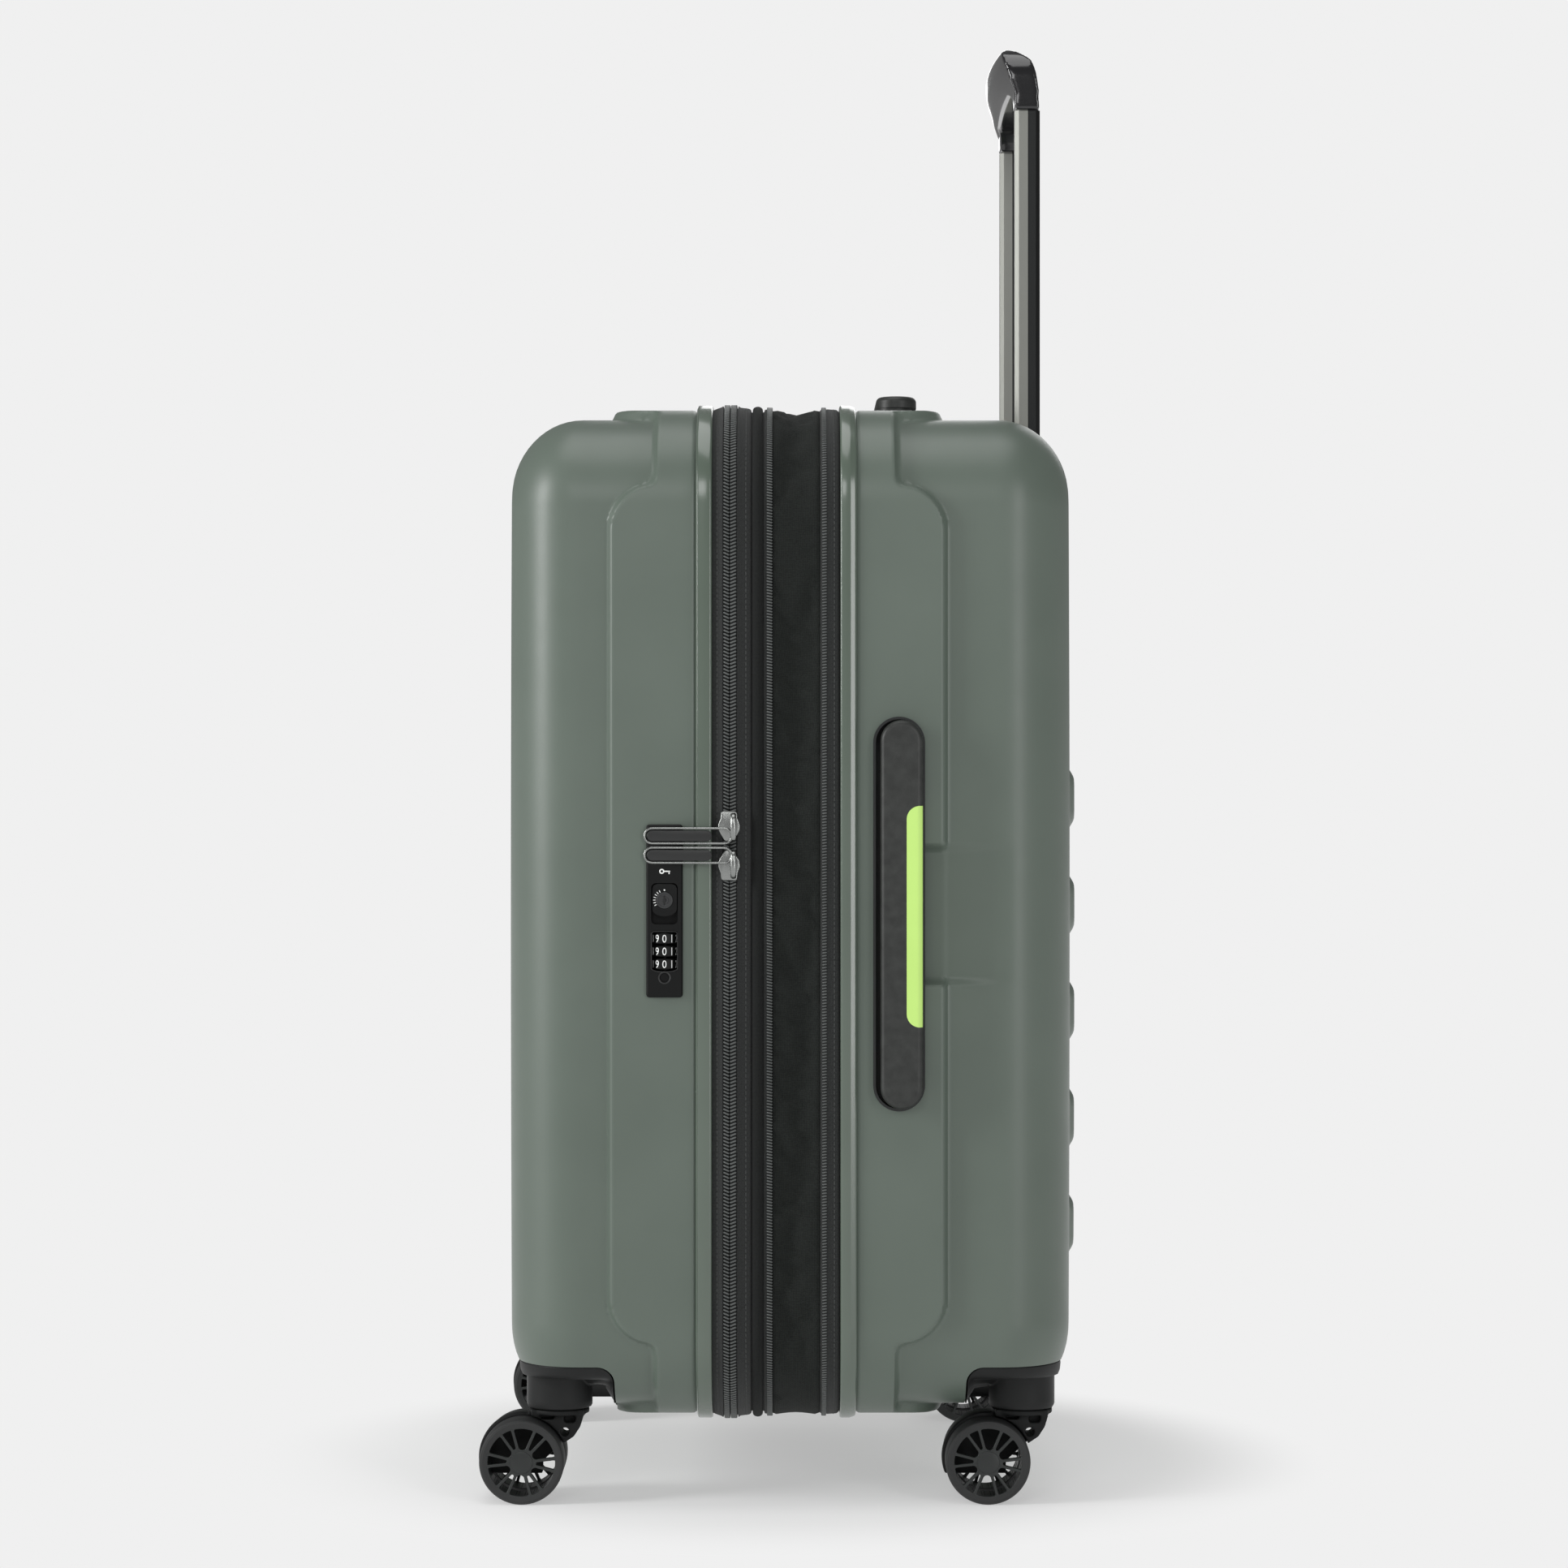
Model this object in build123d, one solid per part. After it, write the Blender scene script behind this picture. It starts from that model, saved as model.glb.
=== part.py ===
from build123d import *
import os
from dataclasses import dataclass, replace
from math import atan2, degrees

# Medium hard shell suitcase on four twin-wheel casters, drawn with its expansion
# section open, its zips closed and its trolley handle drawn half way out.
# Millimetres. X is the depth of the case, from the front shell (-X) to the rear
# shell (+X). Y is its width: the zip pullers, the lock and the side handle are at
# -Y, and the fabric hinge is at +Y. Z is up, and the wheels stand on z = 0.

# ---------------------------------------------------------------- case outline
CASE_WIDTH = 450.0                 # across the two trims
CASE_BOTTOM = 50.0                 # underside of the trims above the floor
CASE_TOP = 674.0
CASE_HEIGHT = CASE_TOP - CASE_BOTTOM
CASE_MID_Z = (CASE_TOP + CASE_BOTTOM) / 2
HALF_WIDTH = CASE_WIDTH / 2
CORNER_R = 64.0                    # corner of the outline seen from the front
RAISED_INSET = 3.0                 # raised band of a shell, below the trim
LOW_INSET = 9.0                    # the rest of a shell, below the trim
FACE_FILLET = 46.0                 # edge between a shell's walls and its face
SHELL_WALL = 2.2
TABLET_MARGIN = 50.0               # from the band's corner to the raised tablet
TABLET_R = 27.0                    # corner of a raised tablet

# ---------------------------------------------------------------- depth stations
FRONT_FACE = -166.7
REAR_FACE = 180.0
RIB_HEIGHT = 3.7
FRONT_TRIM = (-50.5, -40.7)
REAR_TRIM = (36.8, 46.8)
TRIM_WEB = 2.4
TRIM_LIP = (5.2, 6.7)              # inner lip of a trim, as insets
MAIN_ZIP_X = -30.2                 # where the main zip parts
ZIP_GAP = 0.15                     # from that plane to the tape on each side
ZIP_RAISED = (-32.2, -23.2)
EXPANSION_TEETH = (-10.2, -4.7)
GUSSET = (-4.7, 24.8)
REAR_PIPING = (24.8, 29.8)
BAND_INSETS = (2.5, 8.0)
PIPING_INSET = 0.5
ZIP_INSET = -1.0                   # the main zip stands 1 mm proud of the trims
GUSSET_INSETS = (6.5, 8.0)
LINING_GAP = 0.4
LINING_WALL = 0.8
REAR_LINING_FACE = 145.0           # the rear lining runs in front of the tubes

# ---------------------------------------------------------------- face panels
PANEL_Z = (168.5, 234.1, 300.3, 365.7, 431.6)
PANEL_WIDTH = 320.0
PANEL_HEIGHT = 32.6
PANEL_R = 9.0
RECESS_DEPTH = 2.6

# ---------------------------------------------------------------- casters
SWIVEL_X = {"front": -135.7, "rear": 149.6}
SWIVEL_Y = 164.0
TRAIL = 22.0
WHEEL_R = 26.0
TREAD_INNER_R = 22.2
RIM_INNER_R = 20.3
CAP_R = 7.4
WHEEL_WIDTH = 21.4
SPOKE_PAIRS = 6
SPOKE_SPREAD = 10.5                # degrees from a pair's centre to each spoke
SPOKE_THICK = 1.8
FORK_WEB = 7.6                     # plate between the two wheels
WHEEL_GAP = 0.6                    # from that plate to each wheel
NECK_WIDTH = 26.0
FENDER_R = 27.6
FORK_TOP = 56.7
BOSS_R = 20.75
BOSS_Z = (57.0, 92.0)
KINGPIN_R = 4.0
KINGPIN_Z = (44.0, 82.0)
AXLE_R = 2.5
RUNNING = 0.05                     # radial clearance of a shaft that turns
SEAT_GAP = 0.05                    # between a tyre and its hub
COVER_WALL = 1.6                   # skin of the caster housing over the shell
COVER_TOP = 87.0
COVER_BOTTOM = 53.5                # clear of the wheels, whose tops pass under it
COVER_LENGTH = 65.5                # from the case's face along its side
COVER_WIDTH = 78.0                 # from the case's side along its face

# ---------------------------------------------------------------- trolley handle
TUBE_Y = 89.4
TUBE_X = 157.0
TUBE_DEPTH = 16.0
TUBE_WIDTH = 12.0
TUBE_WALL = 1.3
TUBE_CHAMFER = 2.6
TUBE_CLEARANCE = 0.4
INNER_TUBE_Z = (292.0, 867.5)
OUTER_TUBE_BOTTOM = 84.0
GRIP_HALF = 99.0
GRIP_BAR_BOTTOM = 881.0
GRIP_OPENING_HALF = 78.0
SPIGOT = (13.0, 9.0, 2.2, 18.0)    # depth, width, chamfer and length
ROD_R = 1.5
ROD_X = 154.5
ROD_Z = (313.0, 893.0)
LOCK_PIN_R = 2.5
LOCK_PIN_Z = 305.0
BUTTON = (10.0, 30.0, 14.0)
BUTTON_X = 150.0
BUTTON_TOP = 907.0

# ---------------------------------------------------------------- carry handles
CUP = (238.0, 31.3)
CUP_X = 72.2
CUP_RIM = 0.8
CUP_DEPTH = 20.0
CUP_WALL = 1.6
STRAP = (233.7, 25.4)
STRAP_OFFSET = 1.3                 # towards the rear, from the cup's centre
STRAP_HEIGHT = (6.3, 13.5)
STRAP_LEG = 30.0
STRAP_LEG_FOOT = -17.5
STRAP_LEG_INSET = 3.0              # how much narrower a leg is than the strap
STRAP_EDGE = 3.4                   # rounding of the strap's top edge
INLAY_LENGTH = 132.9
INLAY_WIDTH = 9.8
INLAY_CORNER = 8.0
INLAY_SHIFT = 1.2                  # down the strap, from its middle
SCOOP_Z = (321.0, 402.0)
SCOOP_X = (80.0, 140.0)
SCOOP_FLOOR = 10.4                 # below the trim

# ---------------------------------------------------------------- lock
LOCK_X = -69.2
LOCK_Z = 364.1
LOCK_BODY = (104.2, 22.0)
LOCK_HEIGHT = (-14.0, 3.0)
LOCK_WINDOW = 16.0
SLIDE_WINDOW = (-4.35, 24.9)       # centre and length, down the lock
SLIDE = (-6.55, 19.9)
DIAL_WINDOW = (24.05, 24.3)
DIAL_PITCH = 7.7
DIAL_R = 7.4
DIAL_WIDTH = 6.4
DIAL_AXIS_DEPTH = -3.4
DIAL_SHAFT_R = 1.5
DIAL_FLOOR_GAP = 0.8               # under the dials, in the lock body
LOCK_EDGE = 1.0
SLIDE_FLOOR = -3.0
SLIDE_GAP = 0.4                    # round the slide, over and under it
KEY_AT = -6.4
KEY_R = 5.0
RESET_AT = 40.2
RESET_R = 2.6
RESET_FLOOR = -9.0
RESET_DISH = (1.0, 1.2)            # width and depth of the dish round the button

# ---------------------------------------------------------------- zip sliders
SLIDER_Z = {"upper": 414.9, "lower": 391.9}
PULLER_Z = {"upper": 409.4, "lower": 397.7}
SLIDER = (19.0, 13.0, 3.0)
SLIDER_LIFT = 0.4                  # from the zip's top to the slider
BRIDGE_HEIGHT = 6.2
BRIDGE_R = 0.9
PULLER_LENGTH = 48.3
PULLER_WIDTH = 10.4
PULLER_THICK = 2.0
PULLER_DROP = 5.8                  # from the bridge to the lock's face
EYE_SHIFT = 3.6                    # along the bridge, towards the other slider

os.makedirs("parts", exist_ok=True)
made = {}


def keep(name, *solids):
    """Writes one node: a solid, or a group of separate solids."""
    made[name] = solids[0] if len(solids) == 1 else Compound(children=list(solids))
    export_step(made[name], f"parts/{name}.step")


def slab(x0, x1, inset):
    """The case outline, set in all round by inset, as a block from x0 to x1."""
    plane = Plane(origin=(min(x0, x1), 0, CASE_MID_Z), x_dir=(0, 1, 0), z_dir=(1, 0, 0))
    outline = RectangleRounded(CASE_WIDTH - 2 * inset, CASE_HEIGHT - 2 * inset, CORNER_R - inset)
    return extrude(plane * outline, abs(x1 - x0))


def ring(stations, outer_inset, inner_inset):
    """A hoop round the case between two depth stations."""
    x0, x1 = stations
    return slab(x0, x1, outer_inset) - slab(x0 - 1, x1 + 1, inner_inset)


def block(x, y, z):
    """A box given by its (low, high) limits along each axis."""
    size = [high - low for low, high in (x, y, z)]
    middle = [(high + low) / 2 for low, high in (x, y, z)]
    return Pos(*middle) * Box(*size)


# ======================================================================== shells
@dataclass
class ShellSpec:
    edge: float                    # open edge, inside the trim
    narrow: float                  # where the raised band ends at the corners
    wide: float                    # where it ends along the middle of each wall
    face: float
    panels: float                  # height of the face panels, negative if sunk

    @property
    def way(self):
        return 1 if self.face > self.edge else -1


FRONT = ShellSpec(FRONT_TRIM[1] - TRIM_WEB, -75.2, -103.0, FRONT_FACE, -RECESS_DEPTH)
REAR = ShellSpec(REAR_TRIM[0] + TRIM_WEB, 71.0, 100.5, REAR_FACE, RIB_HEIGHT)
REAR_INSIDE = replace(REAR, face=REAR_LINING_FACE, panels=0.0)


def tablet(spec, length, across, inward, narrow, wide):
    """A rounded tablet across the raised band, over the full width or height."""
    start = spec.edge - spec.way * 40
    middle = (start + wide) / 2
    span = 2 * CASE_HEIGHT
    tall = length - 2 * TABLET_MARGIN - 2 * inward
    outline = RectangleRounded(abs(wide - start), tall, TABLET_R - inward)
    if across == "Y":
        plane = Plane(origin=(middle, span / 2, CASE_MID_Z), x_dir=(1, 0, 0), z_dir=(0, -1, 0))
    else:
        plane = Plane(origin=(middle, 0, 0), x_dir=(1, 0, 0), z_dir=(0, 0, 1))
    return extrude(plane * outline, span)


def panel(spec, z, inward):
    """One face panel: a rib, or the block that cuts a recess, set in by inward."""
    grow = -inward if spec.panels > 0 else inward
    plane = Plane(origin=(spec.face - spec.way * 30, 0, z), x_dir=(0, spec.way, 0),
                  z_dir=(spec.way, 0, 0))
    outline = RectangleRounded(PANEL_WIDTH + 2 * grow, PANEL_HEIGHT + 2 * grow, PANEL_R + grow)
    return plane, outline


def form(spec, inward=0.0, start=None):
    """The shell's outer shape, as a solid, with every surface set in by inward."""
    start = spec.edge if start is None else start
    face = spec.face - spec.way * inward
    low = slab(start, face, LOW_INSET + inward)
    rim = low.faces().sort_by(Axis.X)[-1 if spec.way > 0 else 0].edges()
    low = fillet(rim, FACE_FILLET - inward)
    narrow = spec.narrow - spec.way * inward
    wide = spec.wide - spec.way * inward
    raised = slab(start, wide, RAISED_INSET + inward)
    region = slab(start, narrow, 0)
    region += tablet(spec, CASE_HEIGHT - 2 * RAISED_INSET, "Y", inward, narrow, wide)
    region += tablet(spec, CASE_WIDTH - 2 * RAISED_INSET, "Z", inward, narrow, wide)
    body = low + (raised & region)
    for z in PANEL_Z if spec.panels else ():
        plane, outline = panel(spec, z, inward)
        if spec.panels > 0:
            body += extrude(plane * outline, 30 + spec.panels - inward)
        else:
            body -= Pos(spec.way * (30 + spec.panels - inward), 0, 0) * extrude(plane * outline, 20)
    return body


def scoop(inward=0.0):
    """The dip beside the side handle, where the fingers go in."""
    floor = -(HALF_WIDTH - SCOOP_FLOOR) + inward
    long, tall = SCOOP_X[1] - SCOOP_X[0], SCOOP_Z[1] - SCOOP_Z[0]
    plane = Plane(origin=(sum(SCOOP_X) / 2, floor, sum(SCOOP_Z) / 2), x_dir=(1, 0, 0),
                  z_dir=(0, -1, 0))
    return extrude(plane * RectangleRounded(long + 2 * inward, tall + 2 * inward, 12 + inward), 30)


def hollow(spec, outer_inward, wall, start):
    """A shell or lining: the form, less the form set in by its wall."""
    return form(spec, outer_inward, start) - form(spec, outer_inward + wall, start - spec.way)


# ------------------------------------------------------- places of the side fittings
side_handle = Plane(origin=(CUP_X, -(HALF_WIDTH - RAISED_INSET), CASE_MID_Z + 0.2),
                    x_dir=(0, 0, -1), z_dir=(0, -1, 0))
top_handle = Plane(origin=(CUP_X, 0, CASE_TOP - RAISED_INSET), x_dir=(0, -1, 0), z_dir=(0, 0, 1))
lock_face = Plane(origin=(LOCK_X, -(HALF_WIDTH - RAISED_INSET), LOCK_Z),
                  x_dir=(0, 0, -1), z_dir=(0, -1, 0))


def prism(outline, low, high):
    """A flat outline in the XY plane, raised from low to high."""
    return extrude(Plane((0, 0, low)) * outline, high - low)


def stadium(length, width, low, high):
    """A bar with round ends along X."""
    return prism(SlotOverall(length, width), low, high)


cup_outside = stadium(*CUP, -CUP_DEPTH, CUP_RIM)
lock_outside = prism(RectangleRounded(*LOCK_BODY, 2.0), *LOCK_HEIGHT)
tube_hole = Box(TUBE_DEPTH + 2 * (TUBE_CLEARANCE + TUBE_WALL),
                TUBE_WIDTH + 2 * (TUBE_CLEARANCE + TUBE_WALL), CASE_HEIGHT)


def boss(x, y, extra=0.0):
    low, high = BOSS_Z
    return Pos(x, y, (low + high) / 2) * Cylinder(BOSS_R + extra, high - low + 2 * extra)


front_shell = hollow(FRONT, 0.0, SHELL_WALL, FRONT.edge)
front_lining = hollow(FRONT, SHELL_WALL + LINING_GAP, LINING_WALL, FRONT_TRIM[0] - 1)
rear_solid = form(REAR) - scoop()
rear_shell = rear_solid - (form(REAR, SHELL_WALL, REAR.edge - 1) - scoop(SHELL_WALL))
rear_lining = form(REAR_INSIDE, SHELL_WALL + LINING_GAP, REAR_TRIM[1] + 1) - scoop(SHELL_WALL + LINING_GAP)
rear_lining -= (form(REAR_INSIDE, SHELL_WALL + LINING_GAP + LINING_WALL, REAR_TRIM[1])
                - scoop(SHELL_WALL + LINING_GAP + LINING_WALL))

front_shell -= lock_face.location * lock_outside
front_lining -= lock_face.location * prism(Rectangle(LOCK_BODY[0] + 2, LOCK_BODY[1] + 2), -30, 5)
for place in (side_handle, top_handle):
    rear_shell -= place.location * cup_outside
    rear_lining -= place.location * stadium(CUP[0] + 2, CUP[1] + 2, -40, 5)
for side in (-1, 1):
    rear_shell -= Pos(TUBE_X, side * TUBE_Y, CASE_TOP) * tube_hole
    front_shell -= boss(SWIVEL_X["front"], side * SWIVEL_Y)
    front_lining -= boss(SWIVEL_X["front"], side * SWIVEL_Y, 1.0)
    rear_shell -= boss(SWIVEL_X["rear"], side * SWIVEL_Y)
    rear_lining -= boss(SWIVEL_X["rear"], side * SWIVEL_Y, 1.0)


def trim(stations, spec):
    """The moulded frame that grips a shell's edge and carries the fabric."""
    x0, x1 = stations
    inside = (x0, spec.edge) if spec.way < 0 else (spec.edge, x1)
    web = (spec.edge, x1) if spec.way < 0 else (x0, spec.edge)
    lip = ring(inside, *TRIM_LIP)
    return ring(stations, 0, RAISED_INSET) + ring(web, RAISED_INSET, TRIM_LIP[1]) + lip


keep("front_shell", front_shell)
keep("rear_shell", rear_shell)
keep("front_trim", trim(FRONT_TRIM, FRONT))
keep("rear_trim", trim(REAR_TRIM, REAR))
keep("front_lining", front_lining)
keep("rear_lining", rear_lining)

# ======================================================================== fabric
zip_front = MAIN_ZIP_X - ZIP_GAP
zip_back = MAIN_ZIP_X + ZIP_GAP
keep("front_zip_tape",
     ring((FRONT_TRIM[1], zip_front), *BAND_INSETS)
     + ring((ZIP_RAISED[0], zip_front), ZIP_INSET, BAND_INSETS[0]))
keep("middle_band",
     ring((zip_back, EXPANSION_TEETH[1]), *BAND_INSETS)
     + ring((zip_back, ZIP_RAISED[1]), ZIP_INSET, BAND_INSETS[0])
     + ring(EXPANSION_TEETH, PIPING_INSET, BAND_INSETS[0]))
keep("expansion_gusset", ring(GUSSET, *GUSSET_INSETS))
keep("rear_band",
     ring((REAR_PIPING[0], REAR_TRIM[0]), *BAND_INSETS)
     + ring(REAR_PIPING, PIPING_INSET, BAND_INSETS[0]))


# ======================================================================== casters
def cylinder_y(radius, x, z, y0, y1):
    """A cylinder whose axis lies along Y."""
    return Pos(x, (y0 + y1) / 2, z) * Rot(90, 0, 0) * Cylinder(radius, abs(y1 - y0))


def fork():
    """Caster fork about its swivel axis at x = y = 0, trailing towards -X."""
    outline = Polyline((-17, FORK_TOP), (-17, 52), (-22, 44), (-30, 26), (-22, 18), (-14, 20),
                       (2.8, 35.5), (9.5, 40), (13.4, 46), (15.2, 52), (15.2, FORK_TOP), close=True)
    side = Plane(origin=(0, NECK_WIDTH / 2, 0), x_dir=(1, 0, 0), z_dir=(0, -1, 0))
    body = extrude(side * make_face(outline), NECK_WIDTH)
    for y in (-1, 1):
        body -= cylinder_y(WHEEL_R + 0.9, -TRAIL, WHEEL_R, y * FORK_WEB / 2, y * NECK_WIDTH)
        body -= block((-11, -2.5), sorted((y * 8, y * NECK_WIDTH)), (50.5, 54.2))
        body -= block((3.5, 10.5), sorted((y * 8, y * NECK_WIDTH)), (48.6, 54.2))
    fender = cylinder_y(FENDER_R, -TRAIL, WHEEL_R, -FORK_WEB / 2, FORK_WEB / 2)
    body += fender & block((-60, -10), (-9, 9), (16, FORK_TOP))
    body += Pos(0, 0, FORK_TOP - 1.7) * Cylinder(18.5, 3.4)
    body -= cylinder_y(2.75, 4.0, 42.8, -NECK_WIDTH, NECK_WIDTH)
    body -= cylinder_y(AXLE_R, -TRAIL, WHEEL_R, -FORK_WEB, FORK_WEB)
    low, high = KINGPIN_Z
    return body - Pos(0, 0, (low + high) / 2) * Cylinder(KINGPIN_R, high - low)


def hub():
    """Spoked wheel hub centred on the origin, its axle along Y, its cap at -Y."""
    half = WHEEL_WIDTH / 2
    rim_r = TREAD_INNER_R - SEAT_GAP
    body = cylinder_y(rim_r, 0, 0, -half, half) - cylinder_y(RIM_INNER_R, 0, 0, -half - 1, half + 1)
    body += cylinder_y(CAP_R, 0, 0, -half - 0.4, half)
    reach = RIM_INNER_R + 0.8
    spoke = Pos(reach / 2, 0, 0) * Box(reach, WHEEL_WIDTH - 3, SPOKE_THICK)
    for pair in range(SPOKE_PAIRS):
        for turn in (-SPOKE_SPREAD, SPOKE_SPREAD):
            body += Rot(0, pair * 360 / SPOKE_PAIRS + turn, 0) * spoke
    return body - cylinder_y(AXLE_R + RUNNING, 0, 0, -half + 2.4, half + 1)


def tyre():
    half = WHEEL_WIDTH / 2
    body = cylinder_y(WHEEL_R, 0, 0, -half, half) - cylinder_y(TREAD_INNER_R, 0, 0, -half - 1, half + 1)
    shoulder = [edge for edge in body.edges().filter_by(GeomType.CIRCLE) if edge.radius > WHEEL_R - 0.1]
    return fillet(shoulder, 2.4)


fork_shape = fork()
hub_shape = hub()
tyre_shape = tyre()
wheel_offset = FORK_WEB / 2 + WHEEL_GAP + WHEEL_WIDTH / 2
cover_shapes = {
    "front": form(FRONT, -COVER_WALL) - form(FRONT),
    "rear": form(REAR, -COVER_WALL) - form(REAR),
}
for end, spec in (("front", FRONT), ("rear", REAR)):
    for side_name, side in (("left", -1), ("right", 1)):
        name = f"{end}_{side_name}"
        x, y = SWIVEL_X[end], side * SWIVEL_Y
        inner_x = spec.face - spec.way * COVER_LENGTH
        outer_x = spec.face + spec.way * 10
        corner = block(sorted((inner_x, outer_x)),
                       sorted((side * (HALF_WIDTH - LOW_INSET - COVER_WIDTH), side * 240)),
                       (COVER_BOTTOM, COVER_TOP))
        housing = (cover_shapes[end] & corner) + boss(x, y)
        bore_top = KINGPIN_Z[1] + 0.5
        housing -= Pos(x, y, (BOSS_Z[0] + bore_top) / 2) * Cylinder(KINGPIN_R + RUNNING,
                                                                  bore_top - BOSS_Z[0])
        keep(f"{name}_housing", housing)
        keep(f"{name}_fork", Pos(x, y, 0) * fork_shape)
        axle_half = wheel_offset + WHEEL_WIDTH / 2 - 3.0
        axle = cylinder_y(AXLE_R, x - TRAIL, WHEEL_R, y - axle_half, y + axle_half)
        kingpin = Pos(x, y, sum(KINGPIN_Z) / 2) * Cylinder(KINGPIN_R, KINGPIN_Z[1] - KINGPIN_Z[0])
        keep(f"{name}_pins", axle, kingpin)
        for wheel, way in (("wheel_a", -1), ("wheel_b", 1)):
            turned = Rot(0, 0, 0 if way < 0 else 180)
            place = Pos(x - TRAIL, y + way * wheel_offset, WHEEL_R)
            keep(f"{name}_{wheel}_hub", place * turned * hub_shape)
            keep(f"{name}_{wheel}_tyre", place * tyre_shape)


# ======================================================================== trolley
def tube(depth, width, chamfer_size, low, high):
    """A tube with chamfered long edges, solid, about x = y = 0."""
    outline = chamfer(Rectangle(depth, width).vertices(), chamfer_size)
    return prism(outline, low, high)


def pair(shape):
    """The same shape on the left and the right tube."""
    return [Pos(TUBE_X, side * TUBE_Y, 0) * shape for side in (-1, 1)]


grow = 2 * TUBE_CLEARANCE
inner_tube = tube(TUBE_DEPTH, TUBE_WIDTH, TUBE_CHAMFER, *INNER_TUBE_Z)
inner_tube -= tube(TUBE_DEPTH - 2 * TUBE_WALL, TUBE_WIDTH - 2 * TUBE_WALL, TUBE_CHAMFER - 0.7,
                   INNER_TUBE_Z[0] - 1, INNER_TUBE_Z[1] + 1)
pin_hole = Pos(TUBE_DEPTH / 2, 0, LOCK_PIN_Z) * Rot(0, 90, 0) * Cylinder(LOCK_PIN_R + RUNNING, 8)
inner_tube -= pin_hole
outer_bore = tube(TUBE_DEPTH + grow, TUBE_WIDTH + grow, TUBE_CHAMFER - 0.3, OUTER_TUBE_BOTTOM - 1, CASE_TOP)
outer_block = tube(TUBE_DEPTH + grow + 2 * TUBE_WALL, TUBE_WIDTH + grow + 2 * TUBE_WALL, 0.6,
                   OUTER_TUBE_BOTTOM, CASE_TOP)
outer_tubes = [(solid & rear_solid) for solid in pair(outer_block - outer_bore)]

grip_side = make_face(Polyline((149.2, 867.5), (164.8, 867.5), (163.0, 880), (159.8, 889.5),
                               (155.9, 900.3), (148.5, 906.0), (141.6, 908.0), (137.4, 904.8),
                               (138.6, 897.5), (143.0, 887.0), (148.0, 878.0), close=True))
grip_plane = Plane(origin=(0, GRIP_HALF, 0), x_dir=(1, 0, 0), z_dir=(0, -1, 0))
grip = extrude(grip_plane * grip_side, 2 * GRIP_HALF)
outline_plane = Plane(origin=(100, 0, 0), x_dir=(0, 1, 0), z_dir=(1, 0, 0))
grip_outline = Pos(0, 870) * RectangleRounded(2 * GRIP_HALF, 78, 22)
grip &= extrude(outline_plane * grip_outline, 100)
opening = Pos(0, GRIP_BAR_BOTTOM - 40) * RectangleRounded(2 * GRIP_OPENING_HALF, 80, 14)
grip -= extrude(outline_plane * opening, 100)
long_edges = grip.edges().filter_by(Axis.Y).filter_by(lambda e: e.length > 100 and e.center().Z > 890)
grip = fillet(long_edges, 1.6)
for solid in pair(tube(*SPIGOT[:3], INNER_TUBE_Z[1] - SPIGOT[3], INNER_TUBE_Z[1] + 2)):
    grip += solid
rod_room = ROD_R + TUBE_CLEARANCE
for side in (-1, 1):
    low, high = 840.0, ROD_Z[1]
    grip -= Pos(ROD_X, side * TUBE_Y, (low + high) / 2) * Cylinder(rod_room, high - low)
grip -= block((ROD_X - rod_room, ROD_X + rod_room), (-TUBE_Y - rod_room, TUBE_Y + rod_room), (885.2, 895.5))
button_room = RectangleRounded(BUTTON[0] + 0.8, BUTTON[1] + 0.8, 3.4)
grip -= Pos(BUTTON_X, 0, 0) * prism(button_room, 888.4, 920)

button = prism(RectangleRounded(BUTTON[0], BUTTON[1], 3.0), ROD_Z[1], BUTTON_TOP)
button = Pos(BUTTON_X, 0, 0) * fillet(button.faces().sort_by(Axis.Z)[-1].edges(), 1.0)
cross_bar = block((ROD_X - ROD_R, ROD_X + ROD_R), (-TUBE_Y - ROD_R, TUBE_Y + ROD_R),
                  (ROD_Z[1] - 2 * ROD_R, ROD_Z[1]))
push_rods = cross_bar
for side in (-1, 1):
    low, high = ROD_Z[0], ROD_Z[1] - ROD_R
    push_rods += Pos(ROD_X, side * TUBE_Y, (low + high) / 2) * Cylinder(ROD_R, high - low)
lock_pin = Pos(TUBE_DEPTH / 2 - 5, 0, LOCK_PIN_Z) * Rot(0, 90, 0) * Cylinder(LOCK_PIN_R, 10)

keep("trolley_grip", grip)
keep("grip_button", button)
keep("push_rods", push_rods)
keep("inner_tubes", *pair(inner_tube))
keep("outer_tubes", *outer_tubes)
keep("trolley_lock_pins", *pair(lock_pin))


# ======================================================================== carry handles
def cup():
    """The recessed tray under a carry handle."""
    inside = stadium(CUP[0] - 2 * CUP_WALL, CUP[1] - 2 * CUP_WALL, CUP_WALL - CUP_DEPTH, CUP_RIM + 1)
    return cup_outside - inside


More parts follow.
